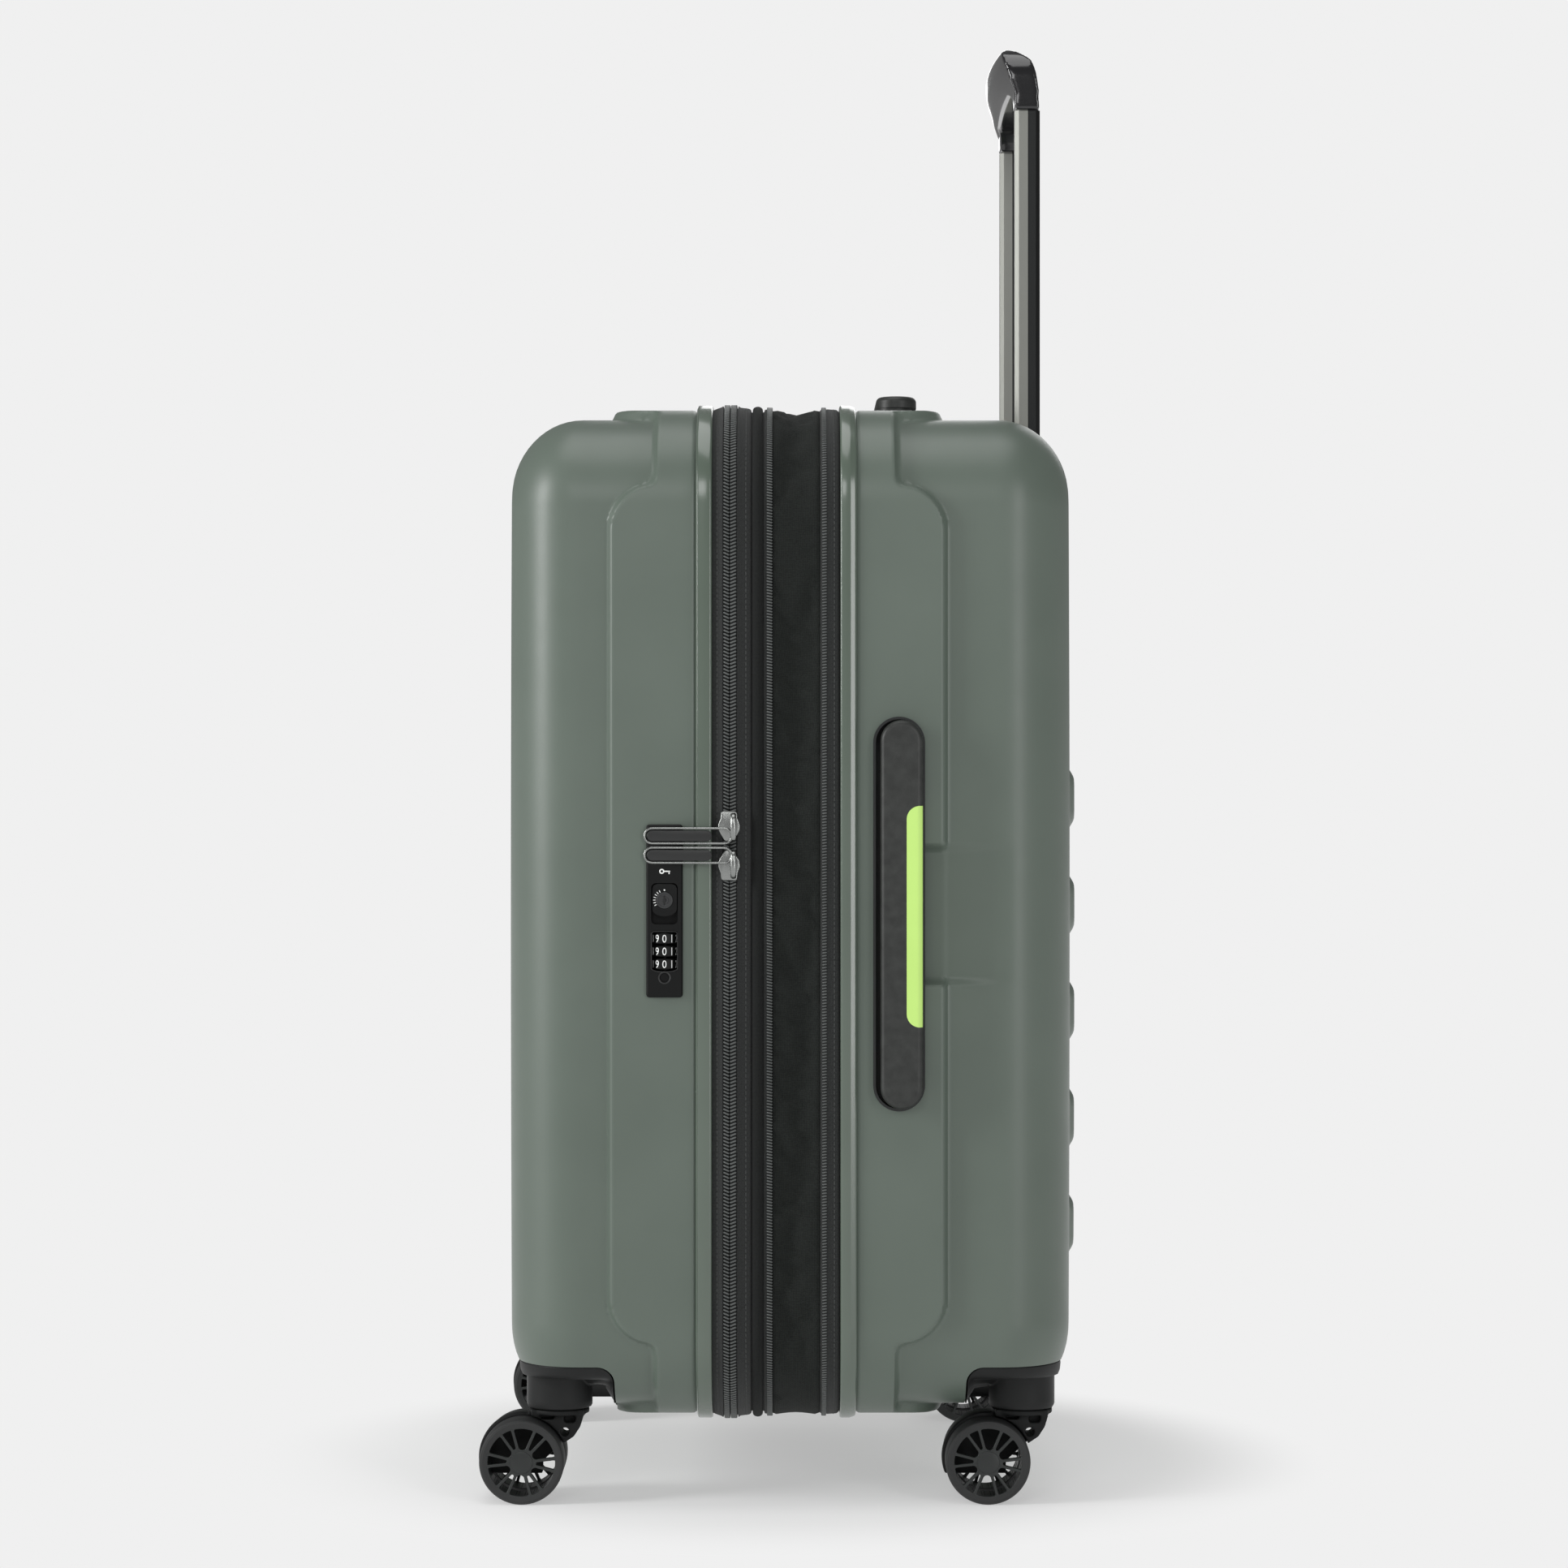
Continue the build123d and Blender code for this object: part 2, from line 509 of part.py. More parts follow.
def strap_and_inlay():
    """The handle bar with a leg at each end, and the coloured insert at its rear edge."""
    low, high = STRAP_HEIGHT
    bar = Pos(0, STRAP_OFFSET, 0) * stadium(*STRAP, low, high)
    bar = fillet(bar.faces().sort_by(Axis.Z)[-1].edges(), STRAP_EDGE)
    insert = Rectangle(INLAY_LENGTH, INLAY_WIDTH + 6)
    front_corners = insert.vertices().group_by(Axis.Y)[0]
    insert = fillet(front_corners, INLAY_CORNER)
    across = STRAP_OFFSET + STRAP[1] / 2 + 3 - INLAY_WIDTH / 2
    notch = Pos(INLAY_SHIFT, across, 0) * prism(insert, low - 1, high + 1)
    inlay = bar & notch
    bar -= notch
    leg_outline = stadium(STRAP[0] - STRAP_LEG_INSET, STRAP[1] - STRAP_LEG_INSET, STRAP_LEG_FOOT, low)
    for end in (-1, 1):
        middle = end * (STRAP[0] / 2 - STRAP_LEG / 2)
        bar += leg_outline & block((middle - STRAP_LEG / 2, middle + STRAP_LEG / 2), (-20, 20), (-30, 20))
    return bar, inlay


strap, inlay = strap_and_inlay()
for name, place in (("side", side_handle), ("top", top_handle)):
    keep(f"{name}_handle_strap", place.location * strap)
    keep(f"{name}_handle_inlay", place.location * inlay)
keep("handle_cups", side_handle.location * cup(), top_handle.location * cup())


# ======================================================================== lock
def along_x(radius, middle, length, height):
    """A round bar along X at a given height."""
    return Pos(middle, 0, height) * Rot(0, 90, 0) * Cylinder(radius, length)


face = LOCK_HEIGHT[1]
lock_body = chamfer(lock_outside.faces().sort_by(Axis.Z)[-1].edges(), LOCK_EDGE)
slide_pocket = RectangleRounded(SLIDE_WINDOW[1], LOCK_WINDOW, 3.0)
lock_body -= Pos(SLIDE_WINDOW[0], 0, 0) * prism(slide_pocket, SLIDE_FLOOR, face + 1)
lock_body -= Pos(DIAL_WINDOW[0], 0, 0) * prism(RectangleRounded(DIAL_WINDOW[1], LOCK_WINDOW, 1.5),
                                              DIAL_AXIS_DEPTH - DIAL_R - DIAL_FLOOR_GAP, face + 1)
lock_body += along_x(DIAL_SHAFT_R, DIAL_WINDOW[0], DIAL_WINDOW[1] + 1, DIAL_AXIS_DEPTH)
lock_body -= Pos(RESET_AT, 0, 0) * prism(Circle(RESET_R + RUNNING), RESET_FLOOR, face + 1)
lock_body -= Pos(RESET_AT, 0, 0) * prism(Circle(RESET_R + RESET_DISH[0]), face - RESET_DISH[1], face + 1)
lock_slide = prism(RectangleRounded(SLIDE[1], LOCK_WINDOW - 2 * SLIDE_GAP, 2.6),
                   SLIDE_FLOOR + SLIDE_GAP, face - SLIDE_GAP)
lock_slide = fillet(lock_slide.faces().sort_by(Axis.Z)[-1].edges(), 0.5)
lock_slide = Pos(SLIDE[0], 0, 0) * lock_slide
lock_slide -= Pos(KEY_AT, 0, 0) * prism(Circle(KEY_R + RUNNING), -1.9, face + 1)
key_core = Pos(KEY_AT, 0, 0) * (prism(Circle(KEY_R), -1.5, face) - prism(Rectangle(5.2, 1.0), 0.6, face + 1))
reset_button = Pos(RESET_AT, 0, 0) * prism(Circle(RESET_R), -4.0, face - 1.4)

keep("lock_body", lock_face.location * lock_body)
keep("lock_slide", lock_face.location * lock_slide)
keep("key_core", lock_face.location * key_core)
keep("lock_reset_button", lock_face.location * reset_button)
for number in (1, 2, 3):
    middle = DIAL_WINDOW[0] + 0.25 + (number - 2) * DIAL_PITCH
    dial = along_x(DIAL_R, middle, DIAL_WIDTH, DIAL_AXIS_DEPTH)
    dial = chamfer(dial.edges().filter_by(GeomType.CIRCLE), 0.5)
    dial -= along_x(DIAL_SHAFT_R + RUNNING, middle, DIAL_WIDTH + 2, DIAL_AXIS_DEPTH)
    keep(f"lock_dial_{number}", lock_face.location * dial)


# ======================================================================== zip sliders
def zip_face(z):
    """The top of the main zip on the -Y side: X runs down the zip, Y to the rear."""
    return Plane(origin=(MAIN_ZIP_X, -(HALF_WIDTH - ZIP_INSET), z), x_dir=(0, 0, -1), z_dir=(0, -1, 0))


def slider():
    """Zip slider: a plate over the teeth, with a bridge that the puller hangs on."""
    long, wide, thick = SLIDER
    top = SLIDER_LIFT + thick
    body = prism(RectangleRounded(long, wide, 3.6), SLIDER_LIFT, top)
    body = fillet(body.faces().sort_by(Axis.Z)[-1].edges(), 0.9)
    for end in (-1, 1):
        body += block(sorted((end * 6.6, end * 8.4)), (-3.9, -2.1), (top - 0.5, BRIDGE_HEIGHT + 0.9))
    return body + Pos(0, -3.0, 0) * along_x(BRIDGE_R, 0, 15, BRIDGE_HEIGHT)


def puller(shift):
    """Puller about its bridge bar on Z, lying towards -X, its plate shifted along Z."""
    eye = Cylinder(BRIDGE_R + RUNNING + 1.1, 5.0)
    neck = block((-7, 0), (-PULLER_THICK / 2, PULLER_THICK / 2), (-2.5, 2.5))
    plane = Plane(origin=(-(PULLER_LENGTH + 5) / 2, PULLER_THICK / 2, shift), x_dir=(1, 0, 0),
                  z_dir=(0, -1, 0))
    plate = extrude(plane * RectangleRounded(PULLER_LENGTH - 5, PULLER_WIDTH, 3.6), PULLER_THICK)
    return eye + neck + plate - Cylinder(BRIDGE_R + RUNNING, 10)


slider_shape = slider()
lean = degrees(atan2(PULLER_DROP, PULLER_LENGTH))
for name, towards_other in (("upper", -1), ("lower", 1)):
    keep(f"zip_slider_{name}", zip_face(SLIDER_Z[name]).location * slider_shape)
    eye_z = SLIDER_Z[name] + towards_other * EYE_SHIFT
    bar = (MAIN_ZIP_X - 3.0, -(HALF_WIDTH - ZIP_INSET) - BRIDGE_HEIGHT, eye_z)
    keep(f"zip_puller_{name}", Pos(*bar) * Rot(0, 0, -lean) * puller(PULLER_Z[name] - eye_z))

whole = Compound(children=[shape for shape in made.values()]).bounding_box()
print(len(made), "nodes", whole.min, whole.max)
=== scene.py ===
from collections import namedtuple
from math import atan2, cos, degrees, pi, radians, sin, tan

import bmesh
import bpy
import numpy as np
from mathutils import Matrix, Vector


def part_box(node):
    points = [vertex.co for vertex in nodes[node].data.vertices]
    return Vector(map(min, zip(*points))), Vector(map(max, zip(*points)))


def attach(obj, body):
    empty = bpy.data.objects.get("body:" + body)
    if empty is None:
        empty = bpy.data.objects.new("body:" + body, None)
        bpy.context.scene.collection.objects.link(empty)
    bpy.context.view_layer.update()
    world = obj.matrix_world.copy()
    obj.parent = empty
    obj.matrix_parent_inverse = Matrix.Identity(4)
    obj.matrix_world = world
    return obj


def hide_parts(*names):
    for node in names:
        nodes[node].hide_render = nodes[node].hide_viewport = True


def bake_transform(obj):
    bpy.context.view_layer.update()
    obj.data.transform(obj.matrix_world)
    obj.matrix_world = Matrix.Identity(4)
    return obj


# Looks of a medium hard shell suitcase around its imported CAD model. Sizes here are in
# millimetres and become metres in to_mesh(). X is the depth (-X front shell, +X rear
# shell), Y the width (-Y the lock and zip pullers, +Y the hinge), Z is up.
MM = 0.001
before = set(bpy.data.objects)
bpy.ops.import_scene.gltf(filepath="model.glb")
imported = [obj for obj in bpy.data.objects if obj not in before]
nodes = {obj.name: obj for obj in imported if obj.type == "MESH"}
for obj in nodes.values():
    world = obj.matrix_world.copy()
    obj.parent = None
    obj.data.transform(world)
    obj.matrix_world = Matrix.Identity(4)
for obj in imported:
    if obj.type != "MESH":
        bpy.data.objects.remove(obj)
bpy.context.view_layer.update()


def span(node):
    """Lowest and highest corner of a CAD node, in millimetres."""
    low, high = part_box(node)
    return np.array(low) / MM, np.array(high) / MM


def middle(node):
    """The middle of a CAD node's box, in millimetres."""
    low, high = span(node)
    return (low + high) / 2


# ---------------------------------------------------------------- case outline
trim_low, trim_high = span("front_trim")
rear_trim_low, rear_trim_high = span("rear_trim")
HALF_Y = trim_high[1]
HALF_Z = (trim_high[2] - trim_low[2]) / 2
MID_Z = (trim_high[2] + trim_low[2]) / 2
CORNER_R = 64.0
RAISED_INSET = 3.0                 # raised band of a shell, below the trim
LOW_INSET = 9.0                    # the rest of a shell, below the trim
FACE_FILLET = 46.0
SHELL_WALL = 2.2
TABLET_MARGIN = 50.0               # from the band's end to the raised tablet
TABLET_R = 27.0
STEP_SOFT = 3.9                    # width of the slope down from the raised band
CROWN = 2.4                        # how far a face's rim lies behind its middle
PANEL_Z = (168.5, 234.1, 300.3, 365.7, 431.6)
PANEL_HALF = (160.0, 16.3)
PANEL_R = 9.0
PANEL_SOFT = 9.0
SCOOP_X = (74.0, 150.0)
SCOOP_Z = (321.0, 402.0)
SCOOP_INSET = 12.0
SCOOP_SOFT = 6.0
SCOOP_FADE = 62.0
TRIM_WEB = 2.4
BEVEL_TILT = radians(17.3)
BEVEL_HOLD = 0.3                   # keeps the bevel flat up to its edges

# ---------------------------------------------------------------- fabric and zips
TAPE_INSET = 7.8                   # of the tapes' inner side
MAIN_ZIP_X = -30.2
GUSSET_X = (-4.7, 24.8)
MAIN_PITCH = 2.12
EXPANSION_PITCH = 1.79
STITCH_PITCH = 3.4
HINGE_HALF_LENGTH = 252.0
HINGE_OVERLAP = 4.0                # the zip runs on this far under the hinge

# ======================================================================== materials


def srgb(red, green, blue):
    """A display colour from 0 to 255, as the linear colour that a shader takes."""
    out = []
    for value in (red, green, blue):
        value = value / 255
        out.append(value / 12.92 if value <= 0.04045 else ((value + 0.055) / 1.055) ** 2.4)
    return (*out, 1.0)


WAVE_BAND = pi / 10                # length of one band of the wave texture at scale 1


class Finish:
    """A Principled material in the making. Coordinates are the object's own, in metres."""

    def __init__(self, name, colour, roughness, metallic=0.0, **sockets):
        self.material = bpy.data.materials.new(name)
        self.material.use_nodes = True
        self.tree = self.material.node_tree
        self.shader = self.tree.nodes["Principled BSDF"]
        self.set(self.shader, "Base Color", srgb(*colour))
        self.set(self.shader, "Roughness", roughness)
        self.set(self.shader, "Metallic", metallic)
        for socket, value in sockets.items():
            self.set(self.shader, socket.replace("_", " "), value)
        self.coordinates = self.tree.nodes.new("ShaderNodeTexCoord").outputs["Object"]
        self.height = None

    def set(self, node, socket, value):
        """Gives an input a value, or links another node's output to it."""
        if isinstance(value, bpy.types.NodeSocket):
            self.tree.links.new(value, node.inputs[socket])
        else:
            node.inputs[socket].default_value = value

    def add(self, kind, output=0, **inputs):
        """A new node with its inputs set, as one of its outputs."""
        node = self.tree.nodes.new(kind)
        for socket, value in inputs.items():
            self.set(node, socket.replace("_", " "), value)
        return node.outputs[output]

    def use_uv(self):
        """Patterns follow the mesh's UV map, which is in metres along the piece."""
        node = self.tree.nodes.new("ShaderNodeUVMap")
        node.uv_map = "along"
        self.coordinates = node.outputs[0]
        return self

    def math(self, operation, a, b):
        """The outcome of one sum on two values."""
        node = self.tree.nodes.new("ShaderNodeMath")
        node.operation = operation
        self.set(node, 0, a)
        self.set(node, 1, b)
        return node.outputs[0]

    def noise(self, size, detail=3.0, stretch=None):
        """Noise whose blobs are about size millimetres across."""
        coordinates = self.coordinates
        if stretch is not None:
            node = self.tree.nodes.new("ShaderNodeMapping")
            self.set(node, "Vector", coordinates)
            self.set(node, "Scale", stretch)
            coordinates = node.outputs[0]
        return self.add("ShaderNodeTexNoise", Vector=coordinates, Scale=1 / (size * MM), Detail=detail)

    def bands(self, pitch, direction):
        """Soft stripes across one axis."""
        node = self.tree.nodes.new("ShaderNodeTexWave")
        node.bands_direction = direction
        self.set(node, "Vector", self.coordinates)
        self.set(node, "Scale", WAVE_BAND / (pitch * MM))
        return node.outputs["Fac"]

    def weave(self, pitch, axes="XY"):
        """Plain weave: threads along both axes, each on top in every other cell."""
        checker = self.add("ShaderNodeTexChecker", 1, Vector=self.coordinates, Scale=1 / (pitch * MM))
        mixed = self.tree.nodes.new("ShaderNodeMix")
        self.set(mixed, "Factor", checker)
        self.set(mixed, 2, self.bands(pitch, axes[0]))
        self.set(mixed, 3, self.bands(pitch, axes[1]))
        return mixed.outputs[0]

    def tint(self, factor, low, high, span_low=0.3, span_high=0.7):
        """Base colour from low to high as factor goes across its span."""
        ramp = self.add("ShaderNodeMapRange", Value=factor)
        self.set(ramp.node, "From Min", span_low)
        self.set(ramp.node, "From Max", span_high)
        mixed = self.tree.nodes.new("ShaderNodeMix")
        mixed.data_type = "RGBA"
        self.set(mixed, "Factor", ramp)
        self.set(mixed, 6, srgb(*low))
        self.set(mixed, 7, srgb(*high))
        self.set(self.shader, "Base Color", mixed.outputs[2])
        return self

    def rough(self, factor, low, high):
        """Roughness from low to high as factor goes from 0 to 1."""
        ramp = self.add("ShaderNodeMapRange", Value=factor)
        self.set(ramp.node, "To Min", low)
        self.set(ramp.node, "To Max", high)
        self.set(self.shader, "Roughness", ramp)
        return self

    def relief(self, height, depth, strength=1.0):
        """Adds a bump of depth millimetres on top of any earlier one."""
        node = self.tree.nodes.new("ShaderNodeBump")
        self.set(node, "Height", height)
        self.set(node, "Distance", depth * MM)
        self.set(node, "Strength", strength)
        if self.height is not None:
            self.set(node, "Normal", self.height)
        self.height = node.outputs[0]
        self.set(self.shader, "Normal", self.height)
        return self


def moulded(name, colour, roughness, grain=0.7, depth=0.03, shade=6, clouds=60.0, **sockets):
    """Moulded plastic: fine grain, faint colour clouds and uneven gloss."""
    finish = Finish(name, colour, roughness, **sockets)
    low = [max(0, value - shade) for value in colour]
    high = [min(255, value + shade) for value in colour]
    finish.tint(finish.noise(clouds, 4.0), low, high)
    finish.rough(finish.noise(14.0), roughness * 0.9, roughness * 1.1)
    finish.relief(finish.noise(grain, 2.0), depth)
    return finish.material


def woven(name, dark, light, pitch, depth, uv=True, roughness=0.85, axes="XY", sheen=0.12, gloss=0.5):
    """Woven fabric: threads in relief, darker between them, with a soft sheen."""
    finish = Finish(name, light, roughness, Sheen_Weight=sheen, Sheen_Roughness=0.5,
                    Specular_IOR_Level=gloss)
    if uv:
        finish.use_uv()
    threads = finish.weave(pitch, axes)
    fuzz = finish.noise(pitch * 1.7, 4.0)
    shade = finish.math("MULTIPLY", finish.math("ADD", threads, fuzz), 0.5)
    finish.tint(shade, dark, light, 0.25, 0.75)
    finish.relief(threads, depth)
    finish.relief(finish.noise(9.0, 3.0), depth * 2.5, 0.5)
    return finish.material


DRAWN = (1.0, 1.0, 0.06)           # stretches noise into lines along Z
EVEN = (1.0, 1.0, 1.0)
SPLIT_SOFT = 0.05


def metal(name, colour, roughness, brushed=DRAWN, depth=0.01):
    """Bare or anodised metal with fine drawn lines and uneven gloss."""
    finish = Finish(name, colour, roughness, 1.0)
    lines = finish.noise(0.5, 3.0, brushed)
    finish.rough(lines, roughness * 0.8, roughness * 1.3)
    finish.relief(lines, depth)
    return finish.material


def two_tone(name, light, dark, split):
    """Metal, light in front of a plane of constant X and dark behind it: the dark part is a painted
    reflection of the dark surround on the tube's rear side.
    """
    finish = Finish(name, light, 0.38, 1.0)
    parts = finish.add("ShaderNodeSeparateXYZ", Vector=finish.coordinates)
    finish.tint(parts, light, dark, (split - SPLIT_SOFT) * MM, (split + SPLIT_SOFT) * MM)
    lines = finish.noise(0.5, 3.0, DRAWN)
    finish.rough(lines, 0.3, 0.46)
    finish.relief(lines, 0.01)
    return finish.material


green_shell = moulded("shell_green", (92, 103, 94), 0.42, grain=0.9, depth=0.035, shade=2,
                      Coat_Weight=0.15, Coat_Roughness=0.3)
green_trim = moulded("trim_green", (86, 98, 87), 0.26, grain=2.5, depth=0.012, shade=2,
                     Coat_Weight=0.8, Coat_Roughness=0.16)
tape_black = woven("tape_black", (13, 14, 14), (46, 49, 48), 0.7, 0.14)
gusset_black = woven("gusset_black", (14, 15, 15), (40, 44, 41), 0.9, 0.12, sheen=0.04, gloss=0.2)
webbing_black = woven("webbing_black", (16, 16, 17), (52, 53, 54), 1.5, 0.3, uv=False, axes="XZ")
lining_grey = woven("lining_grey", (62, 64, 66), (98, 100, 102), 1.1, 0.1, uv=False, axes="YZ",
                    roughness=0.6)
mesh_black = woven("mesh_black", (12, 12, 12), (46, 46, 48), 2.4, 0.5, uv=False, axes="YZ")
teeth_black = moulded("teeth_black", (84, 87, 86), 0.3, grain=0.5, depth=0.01)
piping_black = woven("piping_black", (12, 13, 13), (38, 40, 39), 0.6, 0.1, sheen=0.04, gloss=0.2)
thread_grey = moulded("thread_grey", (70, 72, 71), 0.7, grain=0.3, depth=0.04)
gloss_black = moulded("gloss_black", (20, 20, 22), 0.16, grain=6.0, depth=0.006, shade=2,
                      Coat_Weight=0.6, Coat_Roughness=0.06)
soft_black = moulded("soft_black", (40, 41, 42), 0.5, grain=0.5, depth=0.03)
handle_black = moulded("handle_black", (38, 40, 38), 0.46, grain=0.55, depth=0.05, shade=8, clouds=6.5)
tray_black = moulded("tray_black", (30, 32, 32), 0.42, grain=0.6, depth=0.03)
lock_black = moulded("lock_black", (13, 14, 14), 0.45, grain=0.35, shade=2, Specular_IOR_Level=0.2)
caster_black = moulded("caster_black", (23, 24, 24), 0.6, Specular_IOR_Level=0.2)
cover_black = moulded("cover_black", (28, 29, 29), 0.5, Specular_IOR_Level=0.25)
hub_black = moulded("hub_black", (33, 36, 35), 0.4, grain=0.5, depth=0.02)
tyre_black = moulded("tyre_black", (36, 37, 37), 0.62, grain=0.8, depth=0.04)
lime_insert = moulded("lime_insert", (200, 240, 128), 0.45, grain=0.6, depth=0.02, shade=3)
white_ink = moulded("white_ink", (236, 238, 236), 0.5, grain=0.3, depth=0.01, shade=2)
# The tubes' dark part behind X 157.3 is a painted reflection, not a second finish.
tube_metal = two_tone("tube_metal", (136, 137, 132), (50, 51, 51), 157.3)
tube_dark = metal("tube_dark", (78, 79, 79), 0.42)
steel = metal("steel", (168, 168, 166), 0.28, EVEN)
gunmetal = metal("gunmetal", (150, 152, 150), 0.26, EVEN, 0.02)
insert_black = moulded("insert_black", (30, 31, 31), 0.38, grain=0.4, depth=0.02)

# ======================================================================== mesh tools


def added(name, data):
    """A new object in the scene."""
    item = bpy.data.objects.new(name, data)
    bpy.context.scene.collection.objects.link(item)
    return item


def shade_smooth(item):
    """Shades all faces smooth."""
    item.data.polygons.foreach_set("use_smooth", [True] * len(item.data.polygons))


def paint(item, material):
    """Makes a material an object's only one."""
    item.data.materials.clear()
    item.data.materials.append(material)


def vertices(item):
    """An object's vertices, in metres."""
    return np.array([v.co for v in item.data.vertices])


def move_vertices(item, points):
    """Puts an object's vertices at new places, in metres."""
    item.data.vertices.foreach_set("co", points.astype(np.float32).ravel())


def to_mesh(name, points, faces, uv=None):
    """A mesh object from points in millimetres. uv has one (u, v) for each face corner."""
    mesh = bpy.data.meshes.new(name)
    mesh.from_pydata((np.asarray(points, float) * MM).tolist(), [], [list(map(int, f)) for f in faces])
    if uv is not None:
        layer = mesh.uv_layers.new(name="along")
        layer.data.foreach_set("uv", (np.asarray(uv, float).reshape(-1) * MM).astype(np.float32))
    mesh.update()
    item = added(name, mesh)
    shade_smooth(item)
    return item


def grid_faces(rows, columns, close_rows=False, close_columns=False):
    """Quads over a rows x columns grid of points, wrapped round where closed."""
    row = np.arange(rows if close_rows else rows - 1)[:, None]
    column = np.arange(columns if close_columns else columns - 1)[None, :]
    next_row, next_column = (row + 1) % rows, (column + 1) % columns
    corners = (row * columns + column, row * columns + next_column,
               next_row * columns + next_column, next_row * columns + column)
    return np.stack([np.broadcast_to(c, (row.size, column.size)) for c in corners], -1).reshape(-1, 4)


def bake(item):
    """Applies an object's modifiers to its mesh."""
    graph = bpy.context.evaluated_depsgraph_get()
    mesh = bpy.data.meshes.new_from_object(item.evaluated_get(graph))
    item.modifiers.clear()
    item.data = mesh
    return item


SAME_PLACE = 0.00002               # metres


def rework(item, *operations):
    """Runs bmesh operations on an object's mesh."""
    cleaner = bmesh.new()
    cleaner.from_mesh(item.data)
    for operation in operations:
        operation(cleaner)
    cleaner.to_mesh(item.data)
    cleaner.free()


def merge_doubles(mesh):
    """Makes one of points that lie at the same place."""
    bmesh.ops.remove_doubles(mesh, verts=mesh.verts, dist=SAME_PLACE)


def face_outward(mesh):
    """Turns all faces of a closed mesh outward."""
    bmesh.ops.recalc_face_normals(mesh, faces=mesh.faces)


def turn_over(mesh):
    """Turns every face to its other side."""
    bmesh.ops.reverse_faces(mesh, faces=mesh.faces)


def tidy(item, angle=35.0, outward=True):
    """Merges doubled points, turns faces outward and shades sharp edges as sharp."""
    rework(item, merge_doubles, *(face_outward,) * outward)
    shade_smooth(item)
    item.data.set_sharp_from_angle(angle=radians(angle))
    return item


def thicken(item, thickness, offset=-1.0):
    """Gives a skin a wall, inside it at offset -1 and half on each side at 0."""
    solid = item.modifiers.new("wall", "SOLIDIFY")
    solid.thickness = thickness * MM
    solid.offset = offset
    return bake(item)


def dress(item, material, body, slot, *replaced):
    """Gives a piece its material, its body and the CAD nodes that it stands for, which it hides. slot is
    not used.
    """
    paint(item, material)
    if body is not None:
        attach(item, body)
    if replaced:
        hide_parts(*replaced)
    return item


def repeated(name, points, faces, places, matrices):
    """One mesh of many copies: points @ matrix + place for each copy."""
    points, faces = np.asarray(points, float), np.asarray(faces)
    copies = np.einsum("pj,njk->npk", points, np.asarray(matrices)) + np.asarray(places)[:, None, :]
    shift = (np.arange(len(places)) * len(points))[:, None, None]
    return to_mesh(name, copies.reshape(-1, 3), (faces[None] + shift).reshape(-1, faces.shape[1]))


def capsule(length, radius, sides=6, flat=1.0):
    """Points and quads of a round-ended bar along its first axis."""
    half = length / 2
    stations = [(-half, 0.02), (-half + radius * 0.35, 0.75), (-half + radius, 1.0),
                (half - radius, 1.0), (half - radius * 0.35, 0.75), (half, 0.02)]
    turn = np.arange(sides) * 2 * pi / sides
    points = [(s, radius * r * cos(t), radius * r * sin(t) * flat) for s, r in stations for t in turn]
    return points, grid_faces(len(stations), sides, close_columns=True)


def joined(name, items):
    """One object from several meshes."""
    collected = bmesh.new()
    for item in items:
        collected.from_mesh(item.data)
        bpy.data.objects.remove(item)
    mesh = bpy.data.meshes.new(name)
    collected.to_mesh(mesh)
    collected.free()
    return added(name, mesh)


def placed(item, origin, x_axis, z_axis):
    """Moves a mesh drawn about its own axes to a plane in the frame (millimetres)."""
    x_axis, z_axis = Vector(x_axis), Vector(z_axis)
    turn = Matrix((x_axis, z_axis.cross(x_axis), z_axis)).transposed().to_4x4()
    item.data.transform(Matrix.Translation(Vector(origin) * MM) @ turn)
    return item


def rounded_rectangle(length, width, radius, steps=6):
    """Outline points of a rectangle with round corners, about the origin."""
    points = []
    for corner, (sx, sy) in enumerate(((1, 1), (-1, 1), (-1, -1), (1, -1))):
        for step in range(steps + 1):
            turn = (corner + step / steps) * pi / 2
            points.append((sx * (length / 2 - radius) + radius * cos(turn),
                           sy * (width / 2 - radius) + radius * sin(turn)))
    return points


def lofted(name, rings):
    """Skin over rings of points, with flat ends."""
    count = len(rings[0])
    points = [point for ring in rings for point in ring]
    faces = [tuple(f) for f in grid_faces(len(rings), count, close_columns=True)]
    faces.append(tuple(range(count))[::-1])
    faces.append(tuple(range(len(points) - count, len(points))))
    return tidy(to_mesh(name, points, faces))


EDGE_LEVELS = 5                    # rings of a rounded edge
LEAST_R = 0.05


def pad(name, length, width, radius, low, high, edge=0.0, steps=6):
    """A rounded slab from low to high, its top edge rounded by edge."""
    rings = [[(x, y, low) for x, y in rounded_rectangle(length, width, radius, steps)]]
    levels = EDGE_LEVELS if edge else 1
    for level in range(levels):
        turn = level / max(1, levels - 1) * pi / 2
        inward = edge * (1 - cos(turn))
        height = high - edge + edge * sin(turn)
        smaller = max(LEAST_R, radius - inward)
        outline = rounded_rectangle(length - 2 * inward, width - 2 * inward, smaller, steps)
        rings.append([(x, y, height) for x, y in outline])
    return lofted(name, rings)


def cut(item, *cutters):
    """Takes closed meshes out of a closed mesh."""
    tool = joined("cutter", cutters)
    modifier = item.modifiers.new("cut", "BOOLEAN")
    modifier.operation = "DIFFERENCE"
    modifier.solver = "MANIFOLD"
    modifier.object = tool
    bake(item)
    bpy.data.objects.remove(tool)
    return item


# ======================================================================== case outline
LEAST_GAP = 0.35                   # samples closer than this become one


